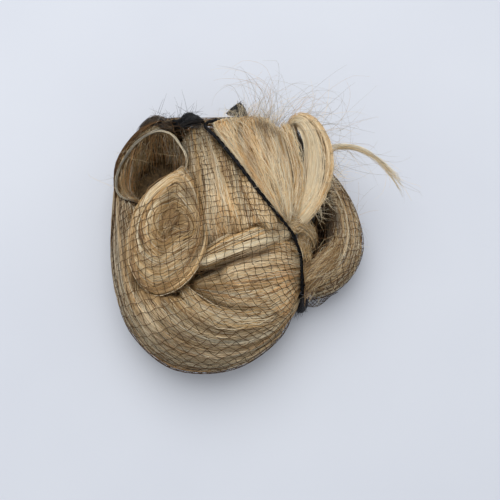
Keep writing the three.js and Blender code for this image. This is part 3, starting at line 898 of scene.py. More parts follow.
def spillBend(s, phi, paths):  # leans on the elastic all along its left side, under an uneven crest
    x, y, z = np.moveaxis(paths, -1, 0)
    crest = np.interp(x, *np.array(spill["crest"]).T) + 0.7 * np.sin(x / 1.7) + 0.5 * np.sin(x / 0.6)
    paths[..., 1] = y - np.maximum(y - crest, 0) * ramp(z, 42, 6)
    edge = elasticAt(paths[..., 1]) + 1.1
    gap = np.maximum(paths[..., 0] - edge, 0.12 * (paths[..., 0] - edge))
    lean = ramp(phi, 1.6, 0.7) * ramp(s, 0.06, 0.12) * (paths[..., 2] > 25)
    paths[..., 0] = edge + gap * (1 - 0.86 * lean)
    return paths


def spillTone(s, phi, paths, tint):  # painted shade in the hollows under the crest, and pale and golden strips
    x, y, z = np.moveaxis(paths, -1, 0)
    for name, marks in spill["marks"].items():
        for across, along, wide, tall, share in marks:
            patch = share * spot(x, across, wide) * spot(y, along, tall)
            tint = washed(tint, name, patch) * (1 - spill["shade"][name] * patch)[..., None]
    return tint * 1.06


spill = dict(
    rows=[(75, 14, 32, 55, 20), (70, 14.5, 43, 67.5, 4), (60, 17.5, 42.5, 70.5, -6), (45, 23, 37, 70, -6),
          (30, 28.5, 27, 66, -2), (20, 32, 16, 60, 24), (13.5, 34.5, 6, 55, 43)],
    marks=dict(
        brown=[(13.5, 50, 2.4, 8, 0.7), (16.5, 38, 1.8, 7, 0.6), (25, 52, 2, 8, 0.4), (33, 50, 1.6, 8, 0.45)],
        cream=[(4, 58, 2.4, 6, 0.5), (20.5, 44, 1.3, 9, 0.6), (27, 37, 1.6, 8, 0.6), (10.6, 52, 0.9, 6, 0.5)],
        # umber: painted shade, in the hollows under the crest and in a few dark creases
        umber=[(19, 63.5, 2.6, 3.4, 0.85), (23.5, 62.5, 3, 3.4, 1), (28.5, 61.5, 2.4, 3.4, 0.75),
               (8.7, 60, 1, 7, 0.9), (31.6, 56, 0.8, 6, 0.6), (22.5, 52, 0.7, 7, 0.5),
               (29.5, 46, 0.7, 8, 0.5)],
    ),
    shade=dict(brown=0.1, cream=0, umber=0.5),
    crest=[(-9, 64.5), (-4.2, 67), (0.4, 69.6), (7.2, 71.2), (16.7, 71.6), (26.2, 69), (32.4, 66.5),
           (38, 66)],
    look=dict(count=1650, clumps=540, span=(0.6, 1.0), fan=(-25, 205), drift=12, depth=(-0.8, 0.9),
              furrowShade=0.18, points=10, waves=9, bend=spillBend, tone=spillTone,
              mix=dict(cream=7, blonde=4, honey=3, brown=3, umber=1)),
    gusset=dict(count=250, points=9, spread=(2.6, 2.6, 1.1), half=(0.1, 0.17),
                via=[(34.5, 66.5, 60.5), (36.8, 59.5, 60.5), (39.8, 51, 59), (41.6, 42.6, 57.5),
                     (42.3, 34, 56), (41, 25.6, 54), (37.9, 17.6, 52)],
                mix=dict(cream=6, blonde=4, honey=3, brown=2)),
    # dark strands deep in the gap between the spill and the loop, dimmed to 0.35: painted shade
    deep=dict(count=90, points=7, spread=(3, 3, 1.6), half=(0.14, 0.22),
              via=[(41, 73, 41), (43, 66, 40), (45.2, 59, 38), (47.5, 50, 36)],
              mix=dict(bark=4, soot=4, umber=2)),
    over=dict(count=170, clumps=110, span=(0.35, 0.9), fan=(20, 160), drift=34, wander=5, clumpWidth=2,
              tuck=0.2, depth=(-1.8, -0.4), points=10, width=(0.09, 0.14), bend=spillBend, tone=spillTone,
              mix=dict(cream=8, blonde=3, honey=1)),
)
spillRows = [(x, y, (top + low) / 2, wide, top - low) for y, x, wide, top, low in spill["rows"]]
spillLock = Lock(spillRows, "hair_spill", facing=(0, -1, 0))
lockPieces("hair_spill", "hair_cream", massOf("hair_spill_mass", spillLock, 1.4, bend=spillBend),
           [layStrands(spillLock, spill["look"], 16), layStrands(spillLock, spill["over"], 26),
            bandOf(spill["gusset"], 46), bandOf(spill["deep"], 47, 0.35)])

# hair round the net's wall: at the back over the clip and the locks' ends, and from the left to the bottom

wrap = dict(
    back=dict(count=520, clumps=170, points=9, start=48, end=128, high=44, run=(18, 42), sink=(0, 16),
              half=(0.14, 0.24), shades=(0.62, 0.9), mix=dict(blonde=3, honey=4, brown=4, umber=2)),
    front=dict(count=280, clumps=90, points=9, start=196, end=306, high=30, run=(18, 36), sink=(-4, 6),
               half=(0.12, 0.2), shades=(0.62, 0.9), mix=dict(cream=2, blonde=3, honey=3, ash=4, brown=3)),
)


def wrapStrands(look, seed):
    rng = np.random.default_rng(seed)
    count, points = look["count"], look["points"]
    pick = rng.integers(0, look["clumps"], count)
    t = np.linspace(0, 1, points)
    degrees = rng.uniform(look["start"], look["end"], look["clumps"])[pick] + rng.normal(0, 1.5, count)
    run = rng.uniform(*look["run"], count) * rng.choice([-1, 1], look["clumps"])[pick]
    degrees = np.clip(degrees[:, None] + run[:, None] * (t - 0.5), look["start"] - 3, look["end"] + 3)
    high = rng.uniform(1, look["high"], look["clumps"])[pick] + rng.normal(0, 0.8, count)
    sink = rng.uniform(*look["sink"], look["clumps"])[pick][:, None]
    z = np.clip(high[:, None] - sink * (t - 0.3) + 0.6 * np.sin(degrees / 5), 0.6, look["high"])
    behind = np.clip((106 - degrees) / 12, 0.2, 1)  # right on the sweep, and deeper behind the spill
    deep = net["inset"] + 0.9 + rng.uniform(0, 3.2, look["clumps"])[pick][:, None] * behind
    angle = np.radians(degrees)
    r = lobeReach(mainLobe, angle) - drawInAt(mainLobe, z) - deep - hugAt(z)
    x, y = planOf(mainLobe, r, angle)
    width = tapered(rng, look["half"], count, t)
    tint = clumpTints(rng, look, pick)
    return np.stack([x, y, z], -1), width, allAlong(tint, points)


wrapParts = [wrapStrands(wrap["back"], 24), wrapStrands(wrap["front"], 25)]
strandPiece("hair_wrap_strands", wrapParts, "hair_honey")
print("wrap made")

# smaller coil on the right, with loose hair between it and the mouth and a mat in its hollow

def sideTone(s, phi, paths, tint):
    inner = ramp(-np.cos(phi), 0.2, 0.4) * spot(s, 0.34, 0.26)  # the hollow's wall, umber and darker: painted shade
    tint = washed(tint, "umber", 0.6 * inner) * (1 - 0.5 * inner)[..., None]
    # darker lower down: painted shade
    return tint * (0.5 + 0.24 * ramp(paths[..., 2], 14, 26))[..., None]


sideCoil = dict(
    rows=[(52, 54, 20, 13, 32), (64, 38, 21, 17, 40), (71, 15, 21, 20, 42), (67, -4, 20, 24, 40),
          (57, -12, 18.5, 23, 37), (47.5, -15.5, 15, 16, 28)],
    look=dict(count=1150, clumps=360, span=(0.5, 0.9), fan=(-75, 255), ends=0.3, drift=22, points=10,
              tone=sideTone, mix=dict(cream=4, blonde=3, honey=4, brown=4, umber=2)),
    cuff=dict(count=150, points=8, spread=(1.6, 4.4, 1.0), half=(0.1, 0.16), clear=True,
              via=[(35, 12.6, 49), (39.5, 13.5, 50.5), (44.3, 13, 47), (49.2, 10.4, 42), (51.5, 6, 36)],
              mix=dict(cream=3, blonde=4, honey=3, brown=1)),
    over=dict(count=240, points=7, spread=(1.4, 8, 1.0), half=(0.1, 0.16), clear=True,
              via=[(42.2, 1.5, 44.5), (44.3, 2, 44.8), (46.4, 2, 43.4), (48.4, 1, 40.8)],
              mix=dict(cream=2, blonde=3, honey=4, brown=3, umber=1)),
    veil=dict(count=330, points=9, spread=(2.4, 4.8, 1.0), half=(0.1, 0.16), clear=True,
              via=[(44, -14.6, 38), (50.4, -11, 41), (57.4, -5.8, 40.5), (63.4, 2, 38), (66.4, 12, 35)],
              mix=dict(cream=2, blonde=3, honey=4, brown=4, umber=2)),
    apron=dict(count=380, points=9, spread=(4, 6, 1.6), half=(0.1, 0.17), clear=True,
               via=[(69, 6, 31), (62, -2, 36), (55, -8, 37.5), (49.5, -13, 34), (46.5, -18, 26)],
               mix=dict(blonde=2, honey=3, brown=4, umber=2)),
    # dark mat of hair on the hollow's floor, dimmed to 0.34 in the bands below: painted shade in the hollow
    mat=dict(count=110, points=7, spread=(4.2, 3, 0.6), half=(0.35, 0.5),
             via=[(60, 36, 4), (57.5, 22, 1.8), (56, 10, 1.8), (52, -3, 4)], mix=dict(umber=4, brown=1)),
    bands=[("cuff", 45, 0.85), ("over", 49, 0.74), ("veil", 27, 0.72), ("apron", 29, 0.8), ("mat", 28, 0.34)],
)
sideLock = Lock(sideCoil["rows"], "hair_side_coil")
lockPieces("hair_side_coil", "hair_honey", massOf("hair_side_coil_mass", sideLock, 1.3),
           [layStrands(sideLock, sideCoil["look"], 17)]
           + [bandOf(sideCoil[band], seed, level) for band, seed, level in sideCoil["bands"]])

# the curl's strands

def ringRows(count=40):
    ring = curl["ring"]
    angle, turn = np.arange(count) * turnFull / count, math.radians(ring["turn"])
    a = (ring["long"] - ring["wide"]) / 2 * np.cos(angle)
    b = (ring["short"] - ring["wide"]) / 2 * np.sin(angle)
    x = ring["x"] + a * math.cos(turn) - b * math.sin(turn)
    y = ring["y"] + a * math.sin(turn) + b * math.cos(turn)
    return np.stack([x, y] + [np.full(count, ring[key]) for key in ("z", "wide", "high")], 1)


def curlHeights(shares=26, turns=72):  # height of the curl's top by share and turn
    solid = solidOf("hair_curl")
    share, turn = np.meshgrid(np.linspace(0, 1, shares), np.arange(turns) / turns, indexing="ij")
    plan = curlPoint(share, turn)
    table = bagTop(plan[..., 0], plan[..., 1]) - 1.3
    for i in range(shares):
        for k in range(turns):
            hit = solid.ray_cast(Vector((*plan[i, k], 200)), Vector((0, 0, -1)))
            if hit[0]:
                table[i, k] = min(table[i, k], hit[0].z)
    for _ in range(3):
        table = (np.roll(table, 1, 1) + 2 * table + np.roll(table, -1, 1)) / 4
        table[1:-1] = (table[:-2] + 2 * table[1:-1] + table[2:]) / 4
    table[0] = table[0].mean()
    edge = ramp(share, 0.84, 0.16)
    left = spot(turn, 0.3, 0.16)
    return table - (5.5 - 3 * left) * edge ** 2 - curl["dip"] * spot(share, 0, 0.35)


def curlTone(share, turn, tint):
    # the marks paint highlights and shade, and the whorl is a little darker in its dip: painted shade
    dark, middle, reach = curl["whorl"]
    level = curl["level"] + spots(curl["marks"], share, turn % 1) - dark * spot(share, middle, reach)
    return tint * level[..., None]


def curlStrands(look, seed):  # wound inwards from the top end, round by the left
    rng = np.random.default_rng(seed)
    table = curlHeights()
    count, points, clumps = look["count"], look["points"], look["clumps"]
    t = np.linspace(0, 1, points)
    pick = rng.integers(0, clumps, count)
    clumpShare = np.sqrt(rng.uniform(0.01, 1.0, clumps))[pick]
    run = rng.uniform(0.2, 0.5, clumps)[pick] * rng.uniform(0.8, 1.15, count)
    inner = clumpShare < 0.55
    begin = rng.uniform(0, 1, clumps)[pick] * np.where(inner, 0.6, 1.0) - 0.16 * inner
    turn = (begin + rng.normal(0, 0.03, count))[:, None] + run[:, None] * t
    sway = rng.uniform(0, turnFull, (count, 1))
    share = (clumpShare + rng.normal(0, 0.008, count))[:, None]
    share = share - (0.24 * run * rng.normal(1, 1.1, clumps)[pick])[:, None] * t
    share = np.clip(share + 0.012 * np.sin(9 * turn + sway), 0.015, 0.995)
    at, column = share * (len(table) - 1), (turn % 1) * table.shape[1]
    i, k = np.minimum(at.astype(int), len(table) - 2), column.astype(int) % table.shape[1]
    f, g, after = at - i, column - np.floor(column), (k + 1) % table.shape[1]
    z = (table[i, k] * (1 - f) + table[i + 1, k] * f) * (1 - g)
    z = z + (table[i, after] * (1 - f) + table[i + 1, after] * f) * g
    swing = 2.2 * np.sin(turnFull * turn + 1) + 1.4 * np.sin(2 * turnFull * turn)
    ridge = 0.6 * np.sin(30 * share + swing) + 0.4 * np.sin(53 * share - 1.4 * swing)
    z = z + rng.uniform(-0.5, 0.5, count)[:, None] + 0.3 * ridge - tucked(t)
    plan = curlPoint(share, turn)
    width = tapered(rng, look["half"], count, t)
    tint = clumpTints(rng, look, pick)
    # painted shade in the furrows and painted light on the ridges
    tint = curlTone(share, turn, tint[:, None] * (1 + 0.07 * ridge)[..., None])
    return np.concatenate([plan, z[..., None]], -1), width, capped(tint)


def curlMass():  # rings from the middle of the whorl out over the roll of hair and down its flank
    table = curlHeights()
    turns = np.arange(table.shape[1]) / table.shape[1]
    rings = []
    for i, share in enumerate(np.linspace(0.02, 0.97, len(table))):
        plan = curlPoint(np.full(len(turns), share), turns)
        rings.append(np.column_stack([plan, table[i] - 1.3]))
    for share, drop in curl["skirt"]:
        plan = curlPoint(np.full(len(turns), share), turns)
        rings.append(np.column_stack([plan, np.maximum(rings[len(table) - 1][:, 2] - drop, 8)]))
    return lofted("hair_curl_mass", rings)


curlLock = Lock(ringRows()[::-1], "hair_curl", 80, True)
lockPieces("hair_curl", "hair_blonde", curlMass(),
           [layStrands(curlLock, dict(curl["flank"], bend=flankBend), 18), curlStrands(curl["top"], 19),
            bandOf(curl["tangle"], 21, 0.84)])

# open roll at the upper left: its rim runs from the lower left over the top, then down under the curl

roll = dict(
    middle=(-42, 47), floor=12, draw=0.28, wall=0.9, seen=0.79,
    rim=[(-53.1, 27.5, 46), (-58.8, 30.3, 43), (-62.8, 35.9, 41), (-63.2, 44.5, 41), (-59.8, 53, 43),
         (-54.4, 59.9, 46), (-49.1, 64.6, 48), (-42.7, 68.5, 49), (-36.9, 69.3, 50), (-30.2, 66, 52),
         (-25.3, 59.5, 54), (-21.7, 53, 54.5), (-21, 46, 53), (-25, 37, 46), (-34, 29, 43), (-44, 25.5, 43)],
    # olive and umber: painted shade inside the cup
    inner=dict(count=760, points=9, flow=0.8, half=(0.1, 0.17), mix=dict(olive=6, umber=3, ash=1)),
    lip=dict(count=90, points=16, half=(0.1, 0.17), mix=dict(cream=2, blonde=1, ash=4)),
    strays=dict(count=130, length=(5, 14), spread=0.6, bow=0.5, half=(0.045, 0.07),
                mix=dict(ash=3, blonde=1, olive=2)),
)
rollRim = spline(roll["rim"], 320, True)
rollOutline = outlineOf(rollRim[:, :2] - roll["middle"])


def rollPoint(turn, down, inset):  # on the cup's wall: down 0 at the rim and 1 at its floor
    rim = ringAt(rollRim, turn)
    out = rim[..., :2] - roll["middle"]
    share = 1 - roll["draw"] * down - inset / np.linalg.norm(out, axis=-1)
    z = rim[..., 2] + (roll["floor"] - rim[..., 2]) * down
    return np.concatenate([roll["middle"] + out * share[..., None], z[..., None]], -1)


def rollMass():
    turns = np.arange(64) / 64
    steps = [(down, 0.2) for down in np.linspace(1, 0, 8)]
    steps += [(down, roll["wall"]) for down in np.linspace(0, 0.94, 10)]
    return lofted("hair_roll_mass", [rollPoint(turns, np.full(64, down), inset) for down, inset in steps])


def rollStrands(seed):
    rng = np.random.default_rng(seed)
    parts = []
    look, t = roll["inner"], np.linspace(0, 1, roll["inner"]["points"])
    count = look["count"]
    turn = rng.uniform(0, 1, count)[:, None]  # they part at the top of the rim and run down both sides
    flow = look["flow"] * (turn - 0.5) * (np.abs(turn - 0.5) < 0.33)
    turn = turn + (flow + rng.normal(0, 0.03, (count, 1))) * t
    turn = turn + 0.006 * np.sin(6 * t + rng.uniform(0, turnFull, (count, 1)))
    down = rng.uniform(-0.01, 0.45, count)[:, None] + rng.uniform(0.3, 0.7, count)[:, None] * t
    inset = roll["wall"] + rng.uniform(0.1, 1.4, count)[:, None] + 1.2 * t + 22 * np.maximum(down - 0.9, 0)
    down = np.minimum(down, 0.97)
    paths = rollPoint(turn, down, inset)
    tint = mixedTints(rng, look["mix"], count)[:, None] * rng.uniform(0.95, 1.8, (count, 1, 1))
    # painted light and shade: lighter towards the cup's floor and on its left wall, darker on its right
    tint = tint * (1.2 + 0.8 * down + 0.5 * np.clip((-40 - paths[..., 0]) / 20, -0.6, 1))[..., None]
    parts.append((paths, tapered(rng, look["half"], count, t), capped(tint)))
    look, t = roll["lip"], np.linspace(0, 1, roll["lip"]["points"])
    count = look["count"]
    run = rng.uniform(0.15, 0.45, count)
    turn = (rng.uniform(-0.03, 1, count) * (roll["seen"] - run))[:, None] + run[:, None] * t
    across = rng.uniform(-1, 1, count)[:, None]
    paths = rollPoint(turn, np.zeros(turn.shape), 0.4 + 0.55 * across + 0.2 * np.sin(40 * turn + 9 * across))
    paths[..., 2] += 0.5 * np.sqrt(1 - across ** 2) - rng.uniform(0, 0.7, count)[:, None]
    tint = mixedTints(rng, look["mix"], count)[:, None] * rng.uniform(0.75, 1.0, (count, 1, 1))
    tint = tint * (0.6 + 0.4 * ramp(turn, 0.3, 0.3))[..., None]
    parts.append((paths, rng.uniform(*look["half"], count)[:, None] * np.ones(len(t)), tint))
    return parts


lockPieces("hair_roll", "hair_umber", rollMass(), rollStrands(20), shadeLook)

# the net

def netPoint(lobe, u, v):  # u and v run over the skin from the lobe's crown
    travel, angle = np.hypot(u, v), np.arctan2(v, u)
    flat = lobeReach(lobe, angle) - lobe["flat"]
    past = travel - flat
    z = np.interp(past, lobe["travel"], lobe["down"][:, 0])
    wall = lobeReach(lobe, angle) - np.interp(past, lobe["travel"], lobe["down"][:, 1])
    r = np.where(past > 0, wall, travel)
    x, y = planOf(lobe, r - net["inset"] - hugAt(z), angle)
    return np.stack([x, y, np.maximum(z - net["inset"], net["base"])], -1), past < lobe["travel"][-1]


def runsOf(points, keep):  # the unbroken stretches of a thread
    edges = np.flatnonzero(np.diff(np.concatenate([[0], keep.astype(int), [0]])))
    return [points[a:b] for a, b in zip(edges[::2], edges[1::2]) if b - a > 1]


def inRoll(x, y):  # share of the roll's hollow
    r, angle = polarOf(roll, x, y)
    return r / reachAt(rollOutline, angle)


def overRoll(x, y, z):  # where no thread goes
    return (inRoll(x, y) < net["hollow"]) & (z > 25)


def netThreads(lobe, other):  # laid by thirds of a cell, because the slack net has half as many cells again
    cell, warp, slack = net["cell"], net["warp"], net["slack"]
    v = np.arange(-net["reach"], net["reach"] + 0.1, cell / 2)
    threads = []
    for family in (0, 1):
        for third in range(-3 * net["span"], 3 * net["span"] + 1):
            if third % 3 and third % 2:
                continue
            k = third / 3
            across = k * cell + net["jog"] * np.where((np.arange(len(v)) // 2 + int(k)) % 2 == 0, 1, -1)
            a, b = (across, v) if family == 0 else (v, across)
            u = a + warp * (np.sin(b / 23 + 0.4) + 0.6 * np.sin(a / 11 + b / 17))
            w = b + warp * (np.sin(a / 27 + 1.1) + 0.6 * np.sin(b / 13 - a / 19))
            turn = np.radians(net["turn"] + net["swing"] * ramp(w, -26, -50))  # slantwise towards the bottom
            turned = u * np.cos(turn) - w * np.sin(turn), u * np.sin(turn) + w * np.cos(turn)
            points, keep = netPoint(lobe, *turned)
            keep &= lobeRoom(other, points) < 0.3
            x, y, z = points.T
            loose = (y > slack["y"] + slack["slope"] * x) & (x > slack["x"]) & (z > slack["z"])
            keep &= ((third % 3 == 0) & ~loose) | ((third % 2 == 0) & loose)
            keep &= ~(insideMouth(x, y) & (z > mouth["low"])) & ~overRoll(x, y, z)
            threads += runsOf(points, keep)
    return threads


def pleatThreads(look, seed=31):  # drawn together at the gather and let out over the left wall
    rng = np.random.default_rng(seed)
    t = np.linspace(0, 1, 26)
    threads = []
    for k in range(look["count"]):
        angle = np.radians(look["start"] + (look["end"] - look["start"]) * t ** 1.2)
        low = rng.uniform(look["low"], look["high"] + 4)
        z = look["high"] + (low - look["high"]) * np.sin(t * math.pi / 2) + 0.7 * np.sin(9 * t + k)
        r = lobeReach(mainLobe, angle) - drawInAt(mainLobe, z) - net["inset"]
        x, y = planOf(mainLobe, r, angle)
        keep = ~overRoll(x, y, z) & (t < rng.uniform(0.5, 1.0))
        threads += runsOf(np.stack([x, y, z], -1), keep)
    return threads


def skirtThreads(look, seed=32):  # a loose edge of net on the floor below the side coil
    rng = np.random.default_rng(seed)
    lobe = sideLobe
    threads = []

    def at(degrees, share):
        angle = np.radians(degrees)
        r = lobeReach(lobe, angle) - 3 + (look["wide"] + 1.5 * np.sin(degrees / 6)) * share
        z = 7 * (1 - share) ** 2 + 0.5
        return np.stack([*planOf(lobe, r, angle), z], -1)

    step = (look["end"] - look["start"]) / look["count"]
    share = np.linspace(0, 1, 7)
    for k in range(look["count"]):
        for lean in (-1, 1):
            degrees = look["start"] + step * (k + 2.2 * lean * share) + rng.normal(0, 0.25, len(share))
            threads.append(at(degrees, share))
    degrees = np.linspace(look["start"] - 3, look["end"] + 3, 40)
    for row in range(look["rows"]):
        threads.append(at(degrees, np.full(40, 1 - 0.3 * row) + rng.normal(0, 0.02, 40)))
    return threads


def baseThreads(lobe, other):  # a flat grid under the bundle
    cell = net["cell"] * 1.5
    threads = []
    v = np.arange(-100, 100.1, cell)
    for family in (0, 1):
        for k in range(-14, 15):
            across = k * cell + 0.5 * np.sin(v / 9 + k)
            a, b = (across, v) if family == 0 else (v, across)
            x, y = a + lobe["middle"][0], b + lobe["middle"][1]
            r, angle = polarOf(lobe, x, y)
            keep = r < lobeReach(lobe, angle) - lobe["down"][-1, 1]
            points = np.stack([x, y, np.full(len(x), net["base"])], -1)
            keep &= lobeRoom(other, points) < 0.3
            threads += runsOf(points, keep)
    return threads


threads = netThreads(mainLobe, sideLobe) + netThreads(sideLobe, mainLobe)
threads += baseThreads(mainLobe, sideLobe) + baseThreads(sideLobe, mainLobe)
threads += pleatThreads(net["pleats"]) + skirtThreads(net["skirt"])
halfWidths = [np.full((1, len(t)), net["thread"]) for t in threads]
netMesh = tubes("net_threads", [t[None] for t in threads], halfWidths)
finished("net_threads", netMesh, netLook, "net_black", "hair_net")
print("net made", len(threads))

# corded edge of the mouth

elastic = dict(half=0.86, ply=0.28, plies=3, pitch=4.4, steps=600, sides=10)


def elasticMesh():
    path = rimPath(elastic["steps"])
    along = unit(np.roll(path, -1, axis=0) - np.roll(path, 1, axis=0))
    side = unit(np.cross([0, 0, 1.0], along))
    up = np.cross(along, side)
    run = np.concatenate([[0], np.cumsum(np.linalg.norm(np.diff(path, axis=0), axis=1))])
    turns = round(run[-1] / elastic["pitch"])
    phi = np.arange(elastic["sides"]) * turnFull / elastic["sides"]
    rings = []
    for k in range(elastic["steps"]):
        twist = turnFull * turns * k / elastic["steps"] / elastic["plies"]
        out = elastic["half"] + elastic["ply"] * np.cos(elastic["plies"] * (phi - twist))
        rings.append(path[k] + out[:, None] * (np.cos(phi)[:, None] * side[k] + np.sin(phi)[:, None] * up[k]))
    return lofted("elastic_cord", rings, True)


finished("elastic_cord", elasticMesh(), elasticLook, "elastic_black", "net_elastic")
print("elastic made")

# bunched net at the upper left end of the mouth

def lumpBend(s, phi, paths):  # lower at its left end
    paths[..., 1] -= 2.4 * spot(paths[..., 0], -25, 5)
    return paths


gather = dict(
    rows=[(-48, 80.5, 34, 4, 6), (-41, 80.5, 40, 9, 10), (-35.5, 78.5, 42.5, 6, 7),
          (-31, 76.2, 43.5, 3.5, 4.5), (-26, 76.6, 46.5, 9, 9), (-19, 75.2, 49, 8.5, 9),
          (-12, 74.2, 51, 8, 9)],
    hillRows=[(-53, 74.5, 27, 6, 9), (-46.5, 77.5, 33.5, 9, 11), (-40.5, 78.8, 38, 9, 12),
              (-35, 75.8, 39.5, 7, 9), (-30, 73, 41, 5, 6)],
    hill=dict(count=260, clumps=90, span=(0.4, 0.9), fan=(-180, 180), drift=50, clumpWidth=5, points=7,
              depth=(-0.2, 0.8), width=(0.1, 0.16), mix=dict(bark=8, soot=2)),
    lump=dict(count=280, clumps=90, zone=(0.46, 1), span=(0.3, 0.8), fan=(-180, 180), drift=120, clumpWidth=6,
              points=7, depth=(-1.2, 0.8), width=(0.16, 0.28), relief=1.0, waves=4, bend=lumpBend,
              mix=dict(black=7, soot=1)),
    frayed=dict(count=130, length=(1.2, 4), spread=0.9, bow=1.6, half=(0.06, 0.12), points=7,
                mix=dict(black=6, soot=2, bark=1)),
)
gatherLock = Lock(gather["rows"], "net_gather", 60, columns=24)
rng = np.random.default_rng(33)
count = gather["frayed"]["count"]
ends = gatherLock.point(rng.uniform(0.1, 1, count) ** 0.7, rng.uniform(0.2, 2.9, count))
hillLock = Lock(gather["hillRows"], None, 30)
lumpLock = Lock(gather["rows"][4:], "net_gather", 30, columns=24)
hillMesh = massOf("net_gather_hill", hillLock, 0.8, 22, 16)
finished("net_gather_hill", hillMesh, hillLook, "net_black", "net_gather")
bunchMesh = massOf("net_gather_bunch", lumpLock, 1.0, 18, 16, lumpBend)
finished("net_gather_bunch", bunchMesh, bunchLook, "net_black")
gatherParts = [layStrands(hillLock, gather["hill"], 34), layStrands(gatherLock, gather["lump"], 35)]
gatherParts.append(looseEnds(rng, ends, (0, 0.6, 0.6), gather["frayed"]))
strandPiece("net_gather_threads", gatherParts, "net_black")

# pointed corner of net behind the mouth

corner = dict(
    rows=[(7, 80, 45, 14, 5), (7.6, 83, 46, 10, 4), (8.5, 88.5, 45.5, 1.4, 1.4)],
    look=dict(count=110, clumps=110, span=(0.75, 1.0), fan=(-180, 180), drift=14, clumpWidth=2, points=7,
              depth=(-0.3, 0.3), tuck=0, width=(0.12, 0.2), mix=dict(black=5, soot=2)),
    hoops=15, hoopHalf=0.14,
    frayed=dict(count=30, length=(1, 2.6), spread=0.6, bow=0.8, half=(0.08, 0.14), mix=dict(black=5, soot=2)),
)
cornerLock = Lock(corner["rows"], "net_corner", 24, columns=24)
around = np.linspace(0, turnFull, 15)
along = np.linspace(0.02, 0.97, corner["hoops"])[:, None] + 0.03 * np.sin(3 * around)
hoops = cornerLock.point(along, around[None])
hoopTint = np.broadcast_to(inks["black"], hoops.shape)
count = corner["frayed"]["count"]
tip = cornerLock.point(rng.uniform(0.4, 1, count), rng.uniform(0, turnFull, count))
cornerParts = [layStrands(cornerLock, corner["look"], 36)]
cornerParts.append((hoops, np.full(hoops.shape[:2], corner["hoopHalf"]), hoopTint))
cornerParts.append(looseEnds(rng, tip, (0.1, 0.7, 0.2), corner["frayed"]))
strandPiece("net_corner_threads", cornerParts, "net_black", "net_corner")

# frayed knot at the lower end of the mouth

knot = dict(
    rows=[(45, -22.5, 21, 5, 5), (45, -25, 14, 7, 6), (44.6, -26.5, 7, 6, 6), (44, -27.5, 1.5, 3, 2.4)],
    look=dict(count=200, clumps=60, span=(0.4, 1.0), fan=(-180, 180), drift=60, clumpWidth=9, points=7,
              depth=(-0.5, 0.6), width=(0.13, 0.22), mix=dict(black=7, soot=1)),
    frayed=dict(count=50, length=(1.2, 3.2), spread=0.7, bow=0.8, half=(0.08, 0.14),
                mix=dict(black=6, soot=1)),
)
knotLock = Lock(knot["rows"], "net_knot", 30, columns=24)
count = knot["frayed"]["count"]
ends = knotLock.point(rng.uniform(0.3, 1, count), rng.uniform(0, turnFull, count))
knotMesh = massOf("net_knot_bunch", knotLock, 0.8, 18, 14)
finished("net_knot_bunch", knotMesh, bunchLook, "net_black", "net_knot")
strandPiece("net_knot_threads", [layStrands(knotLock, knot["look"], 37),
                                 looseEnds(rng, ends, (0.1, -0.6, -0.3), knot["frayed"])], "net_black")
print("gather, corner and knot made")

# hidden clip

clipLook, nodes, links, shader = newMaterial("clip_lacquer")
place = nodes.new("ShaderNodeTexCoord").outputs["Object"]
worn = noiseNode(nodes, links, place, 140)
lacquer = rampNode(nodes, links, worn, [(0.3, ink(92, 70, 50)), (0.7, ink(122, 94, 68))])
links.new(lacquer, shader.inputs["Base Color"])
links.new(rangeNode(nodes, links, worn, 0.28, 0.45), shader.inputs["Roughness"])
shader.inputs["Metallic"].default_value = 0.4
bumpNode(nodes, links, noiseNode(nodes, links, place, 900), 0.1, 0.0001, shader)
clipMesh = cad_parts["weft_clip"].data
clipMesh.materials.clear()
clipMesh.materials.append(clipLook)

# stray hairs

usualStrays = dict(half=(0.045, 0.07), mix=dict(cream=3, blonde=2, ash=2), arc=(0.3, 2.0), kink=0.018,
                   bow=0.7, points=8)
onFloor = dict(mix=dict(blonde=1, ash=4, brown=2, olive=2))  # hairs that are seen against the floor
thicker = dict(half=(0.06, 0.09))
strays = [  # lock, count, places along and round it, aim, spread, length, and what is unusual
    (spillLock, 96, (0.12, 0.35), (0.3, 1.8), (0.35, 0.8, 0.25), 0.5, (10, 38), onFloor),
    (spillLock, 30, (0.05, 0.2), (0.3, 1.2), (0.25, 0.85, 0.2), 0.25, (34, 62),
     dict(onFloor, arc=(1.7, 3.2), points=14)),  # tall loops over the crest
    (spillLock, 60, (0.2, 0.9), (0.5, 2.7), (0.1, 0.2, 0.6), 0.6, (5, 14), {}),
    (loopLock, 84, (0.5, 0.9), (1.4, 3.2), (0.8, 0.3, 0.0), 0.5, (14, 50), dict(onFloor, points=11)),
    (wispLock, 30, (0.1, 1.0), (0, 6.2), (0.7, -0.5, -0.2), 0.3, (10, 28), onFloor),
    (sideLock, 120, (0.05, 0.6), (0.0, 1.5), (-0.8, 0.1, 0.35), 0.7, (6, 15), thicker),
    (sideLock, 60, (0.0, 0.4), (0.5, 3.0), (0.5, 0.5, 0.3), 0.8, (8, 26), onFloor),
    (sideLock, 110, (0.5, 0.98), (0.0, 1.4), (-0.7, 0.5, 0.4), 0.6, (5, 12), thicker),
    (spillLock, 220, (0.02, 0.2), (0.4, 2.7), (0, 0.8, 0.35), 0.7, (4, 13), {}),
    (loopLock, 140, (0.4, 0.6), (2.4, 3.6), (0.6, -0.6, -0.1), 0.8, (6, 17), {}),
    (fallLock, 60, (0.1, 0.7), (2.2, 3.2), (-0.6, 0, 0.4), 0.6, (4, 10), {}),
]
rng = np.random.default_rng(40)
hairs = []
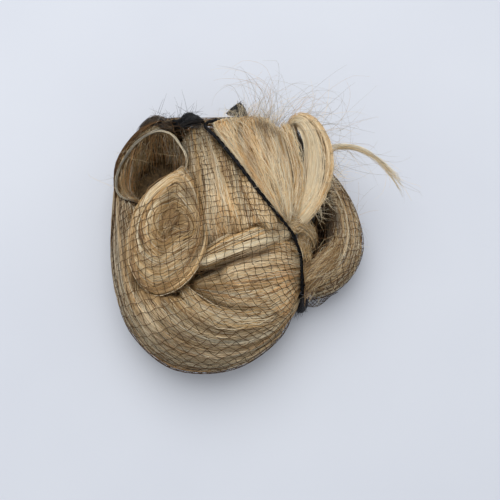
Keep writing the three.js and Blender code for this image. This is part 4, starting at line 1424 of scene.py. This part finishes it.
for lock, count, s, phi, aim, spread, length, unusual in strays:
    root = lock.point(rng.uniform(*s, count), rng.uniform(*phi, count))
    look = dict(usualStrays, spread=spread, length=length)
    hairs.append(looseEnds(rng, root, aim, {**look, **unusual}))
count = roll["strays"]["count"]
turn = rng.uniform(0, roll["seen"], count)
root = rollPoint(turn, rng.uniform(0, 0.5, count), roll["wall"])
hairs.append(looseEnds(rng, root, (0.1, -0.4, 0.2), roll["strays"]))
strandPiece("hair_strays", hairs, "hair_cream")
print("strays made")

# floor, light and size

floorMesh = bpy.data.meshes.new("paper")
bm = bmesh.new()
bmesh.ops.create_grid(bm, x_segments=2, y_segments=2, size=6)
bm.to_mesh(floorMesh)
bm.free()
floor = bpy.data.objects.new("paper", floorMesh)
bpy.context.collection.objects.link(floor)
paper, nodes, links, shader = newMaterial("paper")
grainNoise = noiseNode(nodes, links, nodes.new("ShaderNodeTexCoord").outputs["Object"], 6)
links.new(rampNode(nodes, links, grainNoise, [(0.3, ink(206, 209, 217)), (0.7, ink(211, 214, 221))]),
          shader.inputs["Base Color"])
shader.inputs["Roughness"].default_value = 0.7
floorMesh.materials.append(paper)

light = dict(place=(-0.12, 0.48, 1.1), size=1.2, watts=9.0, sky=0.69)
lamp = bpy.data.lights.new("softbox", "AREA")
lamp.shape = "DISK"
lamp.size = light["size"]
lamp.energy = light["watts"]
lampObject = bpy.data.objects.new("softbox", lamp)
lampObject.location = light["place"]
lampObject.rotation_euler = (Vector((0, 0, 0)) - Vector(light["place"])).to_track_quat("-Z", "Y").to_euler()
bpy.context.collection.objects.link(lampObject)
world = bpy.context.scene.world or bpy.data.worlds.new("world")
bpy.context.scene.world = world
world.use_nodes = True
sky = world.node_tree.nodes["Background"]
sky.inputs["Color"].default_value = (0.93, 0.96, 1.0, 1)
sky.inputs["Strength"].default_value = light["sky"]
bpy.context.scene.view_settings.view_transform = "Standard"

meshes = [obj for obj in bpy.data.objects if obj.type == "MESH" and obj is not floor]
total = 0
for obj in meshes:
    if obj.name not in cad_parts:
        triangles = sum(len(face.vertices) - 2 for face in obj.data.polygons)
        print(obj.name, triangles)
        total += triangles
print("triangles in all", total)
